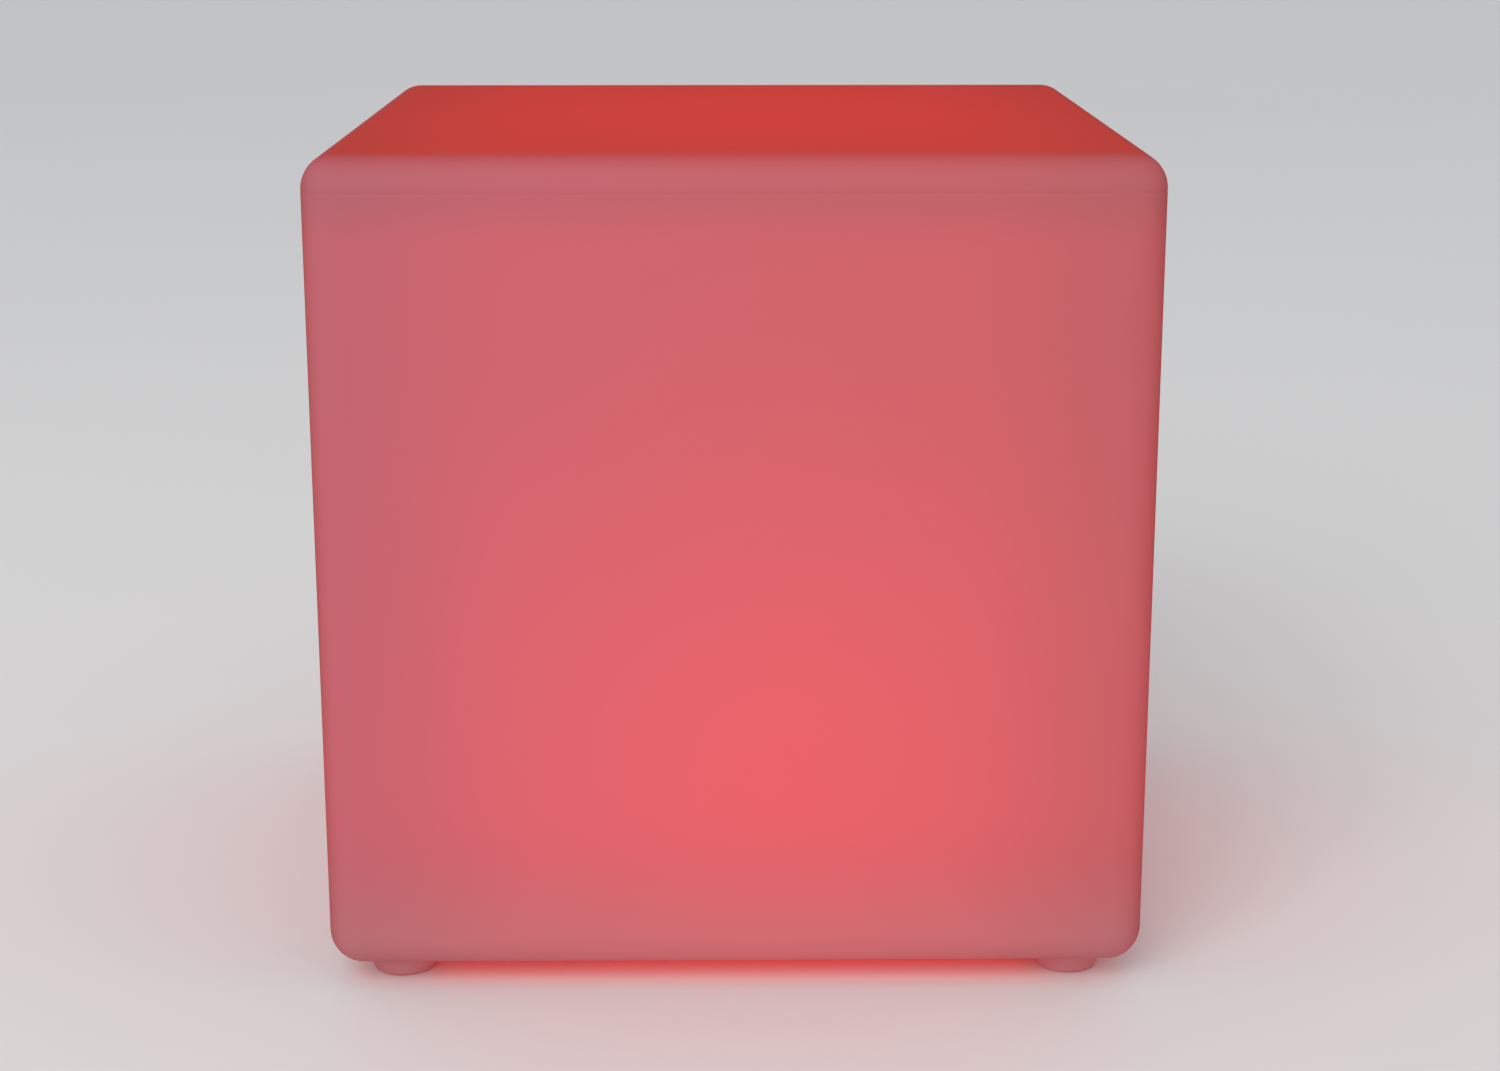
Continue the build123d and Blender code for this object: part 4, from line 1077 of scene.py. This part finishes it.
COIL_WELL, COIL_DEPTH = mm(2.9, 0.5)
coil_low, coil_high = heights("power_coil")
post_rows = ((0.8, COIL_DEPTH), (0.78, SOFT), (0.7, 0.0))
core_post = [(share * COIL_WELL, coil_high - drop) for share, drop in post_rows]
coil = pot(size_of("power_coil")[0] / 2, 1.0 * MM, coil_low, coil_high, COIL_WELL, COIL_DEPTH, core_post)
build("power_coil", [coil + middle("power_coil") * (1, 1, 0)])
light = pot(2.5 * MM, SOFTER, *heights("leds"), LIGHT_WELL, 0.7 * MM)
lights = []
for ring, count in RINGS:
    moved = light + (ring, 0.0, 0.0)
    lights += [turned_about(moved, (step + 0.5) * 360 / count) for step in range(count)]
build("leds", lights, material=lit_package())

# %% Sockets and header
SOCKET_WALL, SOCKET_DEPTH, HEADER_DEPTH, STEEL = mm(0.8, 2.5, 2.0, 0.35)


def mouth(node, thickness, depth, corner=0.4 * MM, edge=0.2 * MM, downwards=False):
    """A socket: a soft-edged box with a mouth sunk into one end."""
    size = size_of(node)[:2]
    shut, opened = heights(node)[::-1] if downwards else heights(node)
    floor = opened + depth if downwards else opened - depth
    outline = stepped(min(size) / 2, shut, 0, opened, thickness, floor, min(size) / 2)
    build(node, [soft_box(size, corner, softened(outline, edge), middle(node)[:2])])


mouth("battery_socket", SOCKET_WALL, SOCKET_DEPTH)
mouth("led_socket", SOCKET_WALL, SOCKET_DEPTH)
mouth("led_header", SOCKET_WALL, HEADER_DEPTH, downwards=True)
charge_size = size_of("charge_socket")
charge_corner = charge_size[0] / 2 - 0.01 * MM
mouth("charge_socket", STEEL, charge_size[2] - STEEL, charge_corner, SOFT, downwards=True)

# %% The charging socket's tongue, the switch and the light pipe
CONTACT_PITCH = 0.5 * MM


def contacts(x, y, z):
    """1 on every other stripe across the tongue."""
    return abs(x.recipe.math("FRACT", y / CONTACT_PITCH) - 0.5).ramp(0.2, 0.3)


tongue_finish = part_metal("tongue_and_contacts", (0.02, 0.02, 0.02), GOLD, contacts)
TONGUE = "charge_socket_tongue"
tongue = soft_block(size_of(TONGUE)[:2], 0.2 * MM, *heights(TONGUE), SOFT, PORT)
build(TONGUE, [tongue], material=tongue_finish)
switch_low, switch_high = heights("tact_switch")
switch = pot(3.0 * MM, SOFTER, -switch_high, -switch_low, 1.81 * MM, 1.8 * MM)
build("tact_switch", [switch * (1, -1, -1) + (*BUTTON, 0.0)])
build("switch_plunger", [rod(1.75 * MM, *heights("switch_plunger"), SOFTER, 48, BUTTON)])
build("light_pipe", [rod(1.5 * MM, *heights("light_pipe"), SOFTER, 64)])

# %% Control board with its solder mask
BOARD_HOLE, TRACE_CELLS, TRACE_STEPS = 1.45 * MM, 90.0, 8.0


def circuit_finish():
    """Traces under the solder mask: even steps of the square-wise distance from scattered points."""
    recipe = Recipe("solder_mask")
    settings = {"distance": "MANHATTAN", "feature": "F1"}
    distance = recipe.node("ShaderNodeTexVoronoi", settings, {"Vector": recipe.place(), "Scale": TRACE_CELLS})
    trace = abs(recipe.math("FRACT", distance * TRACE_STEPS) - 0.5).ramp(0.28, 0.34)
    base = recipe.mix(trace, (0.013, 0.105, 0.037), (0.02, 0.145, 0.052))
    return recipe.finish(base, 0.3, recipe.noise(GRAIN), relief=trace, depth=0.03 * MM)


board_outline = box_loop(size_of("control_board")[:2], 1.0 * MM)
board_walls = [wall(board_outline, board_bottom, board_top, hole=False)]
board_walls += [wall(round_loop(BOARD_HOLE, place), board_bottom, board_top) for place in standoffs]
build_plate("control_board", board_walls, material=circuit_finish())

# %% [markdown]
# ## The studio
#
# A pale floor, an even pale surrounding and one broad soft lamp, as in a photographer's tent. The
# lamp has a grid before it, so that it lights the cube and not the floor beneath itself. The level
# is plain: a colour that is lit from the front renders about as it is written.

# %% Floor
FLOOR_REACH = 40.0


def floor_material():
    """Matt card with a slow, faint change of tone."""
    recipe = Recipe("floor_finish")
    slow = recipe.noise(0.6)
    return recipe.finish(recipe.mix(slow, (0.70, 0.69, 0.68), (0.74, 0.73, 0.72)), 0.7, slow)


floor_corners = np.array([(-1, -1), (1, -1), (1, 1), (-1, 1)]) * FLOOR_REACH
floor = surface("studio_floor", [], floor_material(), patches=[filled([floor_corners], 0.0)])
print(f"Floor: {2 * FLOOR_REACH:.0f} m square")

# %% World and lamp
SKY, SKY_STRENGTH = (0.95, 0.97, 1.0, 1.0), 0.75
LAMP_PLACE, LAMP_TARGET = Vector((-0.7, -1.7, 1.3)), Vector((0.0, 0.0, 0.1))
LAMP_SIZE, LAMP_POWER, LAMP_SPREAD = 1.4, 8.9, 110
world = bpy.data.worlds.new("studio")
bpy.context.scene.world = world
world.use_nodes = True
backdrop = world.node_tree.nodes["Background"]
backdrop.inputs["Color"].default_value = SKY
backdrop.inputs["Strength"].default_value = SKY_STRENGTH
lamp = bpy.data.lights.new("key", "AREA")
lamp.shape = "SQUARE"
lamp.size = LAMP_SIZE
lamp.energy = LAMP_POWER
lamp.spread = math.radians(LAMP_SPREAD)
softbox = bpy.data.objects.new("key", lamp)
bpy.context.collection.objects.link(softbox)
softbox.location = LAMP_PLACE
softbox.rotation_euler = (LAMP_TARGET - LAMP_PLACE).to_track_quat("-Z", "Y").to_euler()
print(f"Softbox: {LAMP_SIZE} m square, {LAMP_POWER} W")

# %% [markdown]
# ## The camera
#
# The photograph's edges give the camera: it is a cube and a third above the feet's level, 3.6 cube
# sides in front, and looks 14 degrees down. The lens has the same field of view. Its place is given
# in cube sides, so it follows the CAD model's size.

# %% Camera at the photograph's viewing angle
CAMERA_IN_SIDES = (-0.0181, -3.562, 1.3274)
DOWN, YAW = 14.239, 0.658
FOCAL_PIXELS, PHOTO_WIDTH, SENSOR = 2688.7, 1500, 36.0
camera_data = bpy.data.cameras.new("camera")
camera_data.sensor_width = SENSOR
camera_data.lens = SENSOR * FOCAL_PIXELS / PHOTO_WIDTH
camera = bpy.data.objects.new("camera", camera_data)
bpy.context.collection.objects.link(camera)
camera.location = Vector(CAMERA_IN_SIDES) * 2 * SIDE + Vector((0.0, 0.0, FOOT))
camera.rotation_euler = (math.radians(90 - DOWN), 0.0, math.radians(-YAW))
bpy.context.scene.camera = camera
bpy.context.scene.view_settings.view_transform = "Standard"
print(f"Lens: {camera_data.lens:.1f} mm")
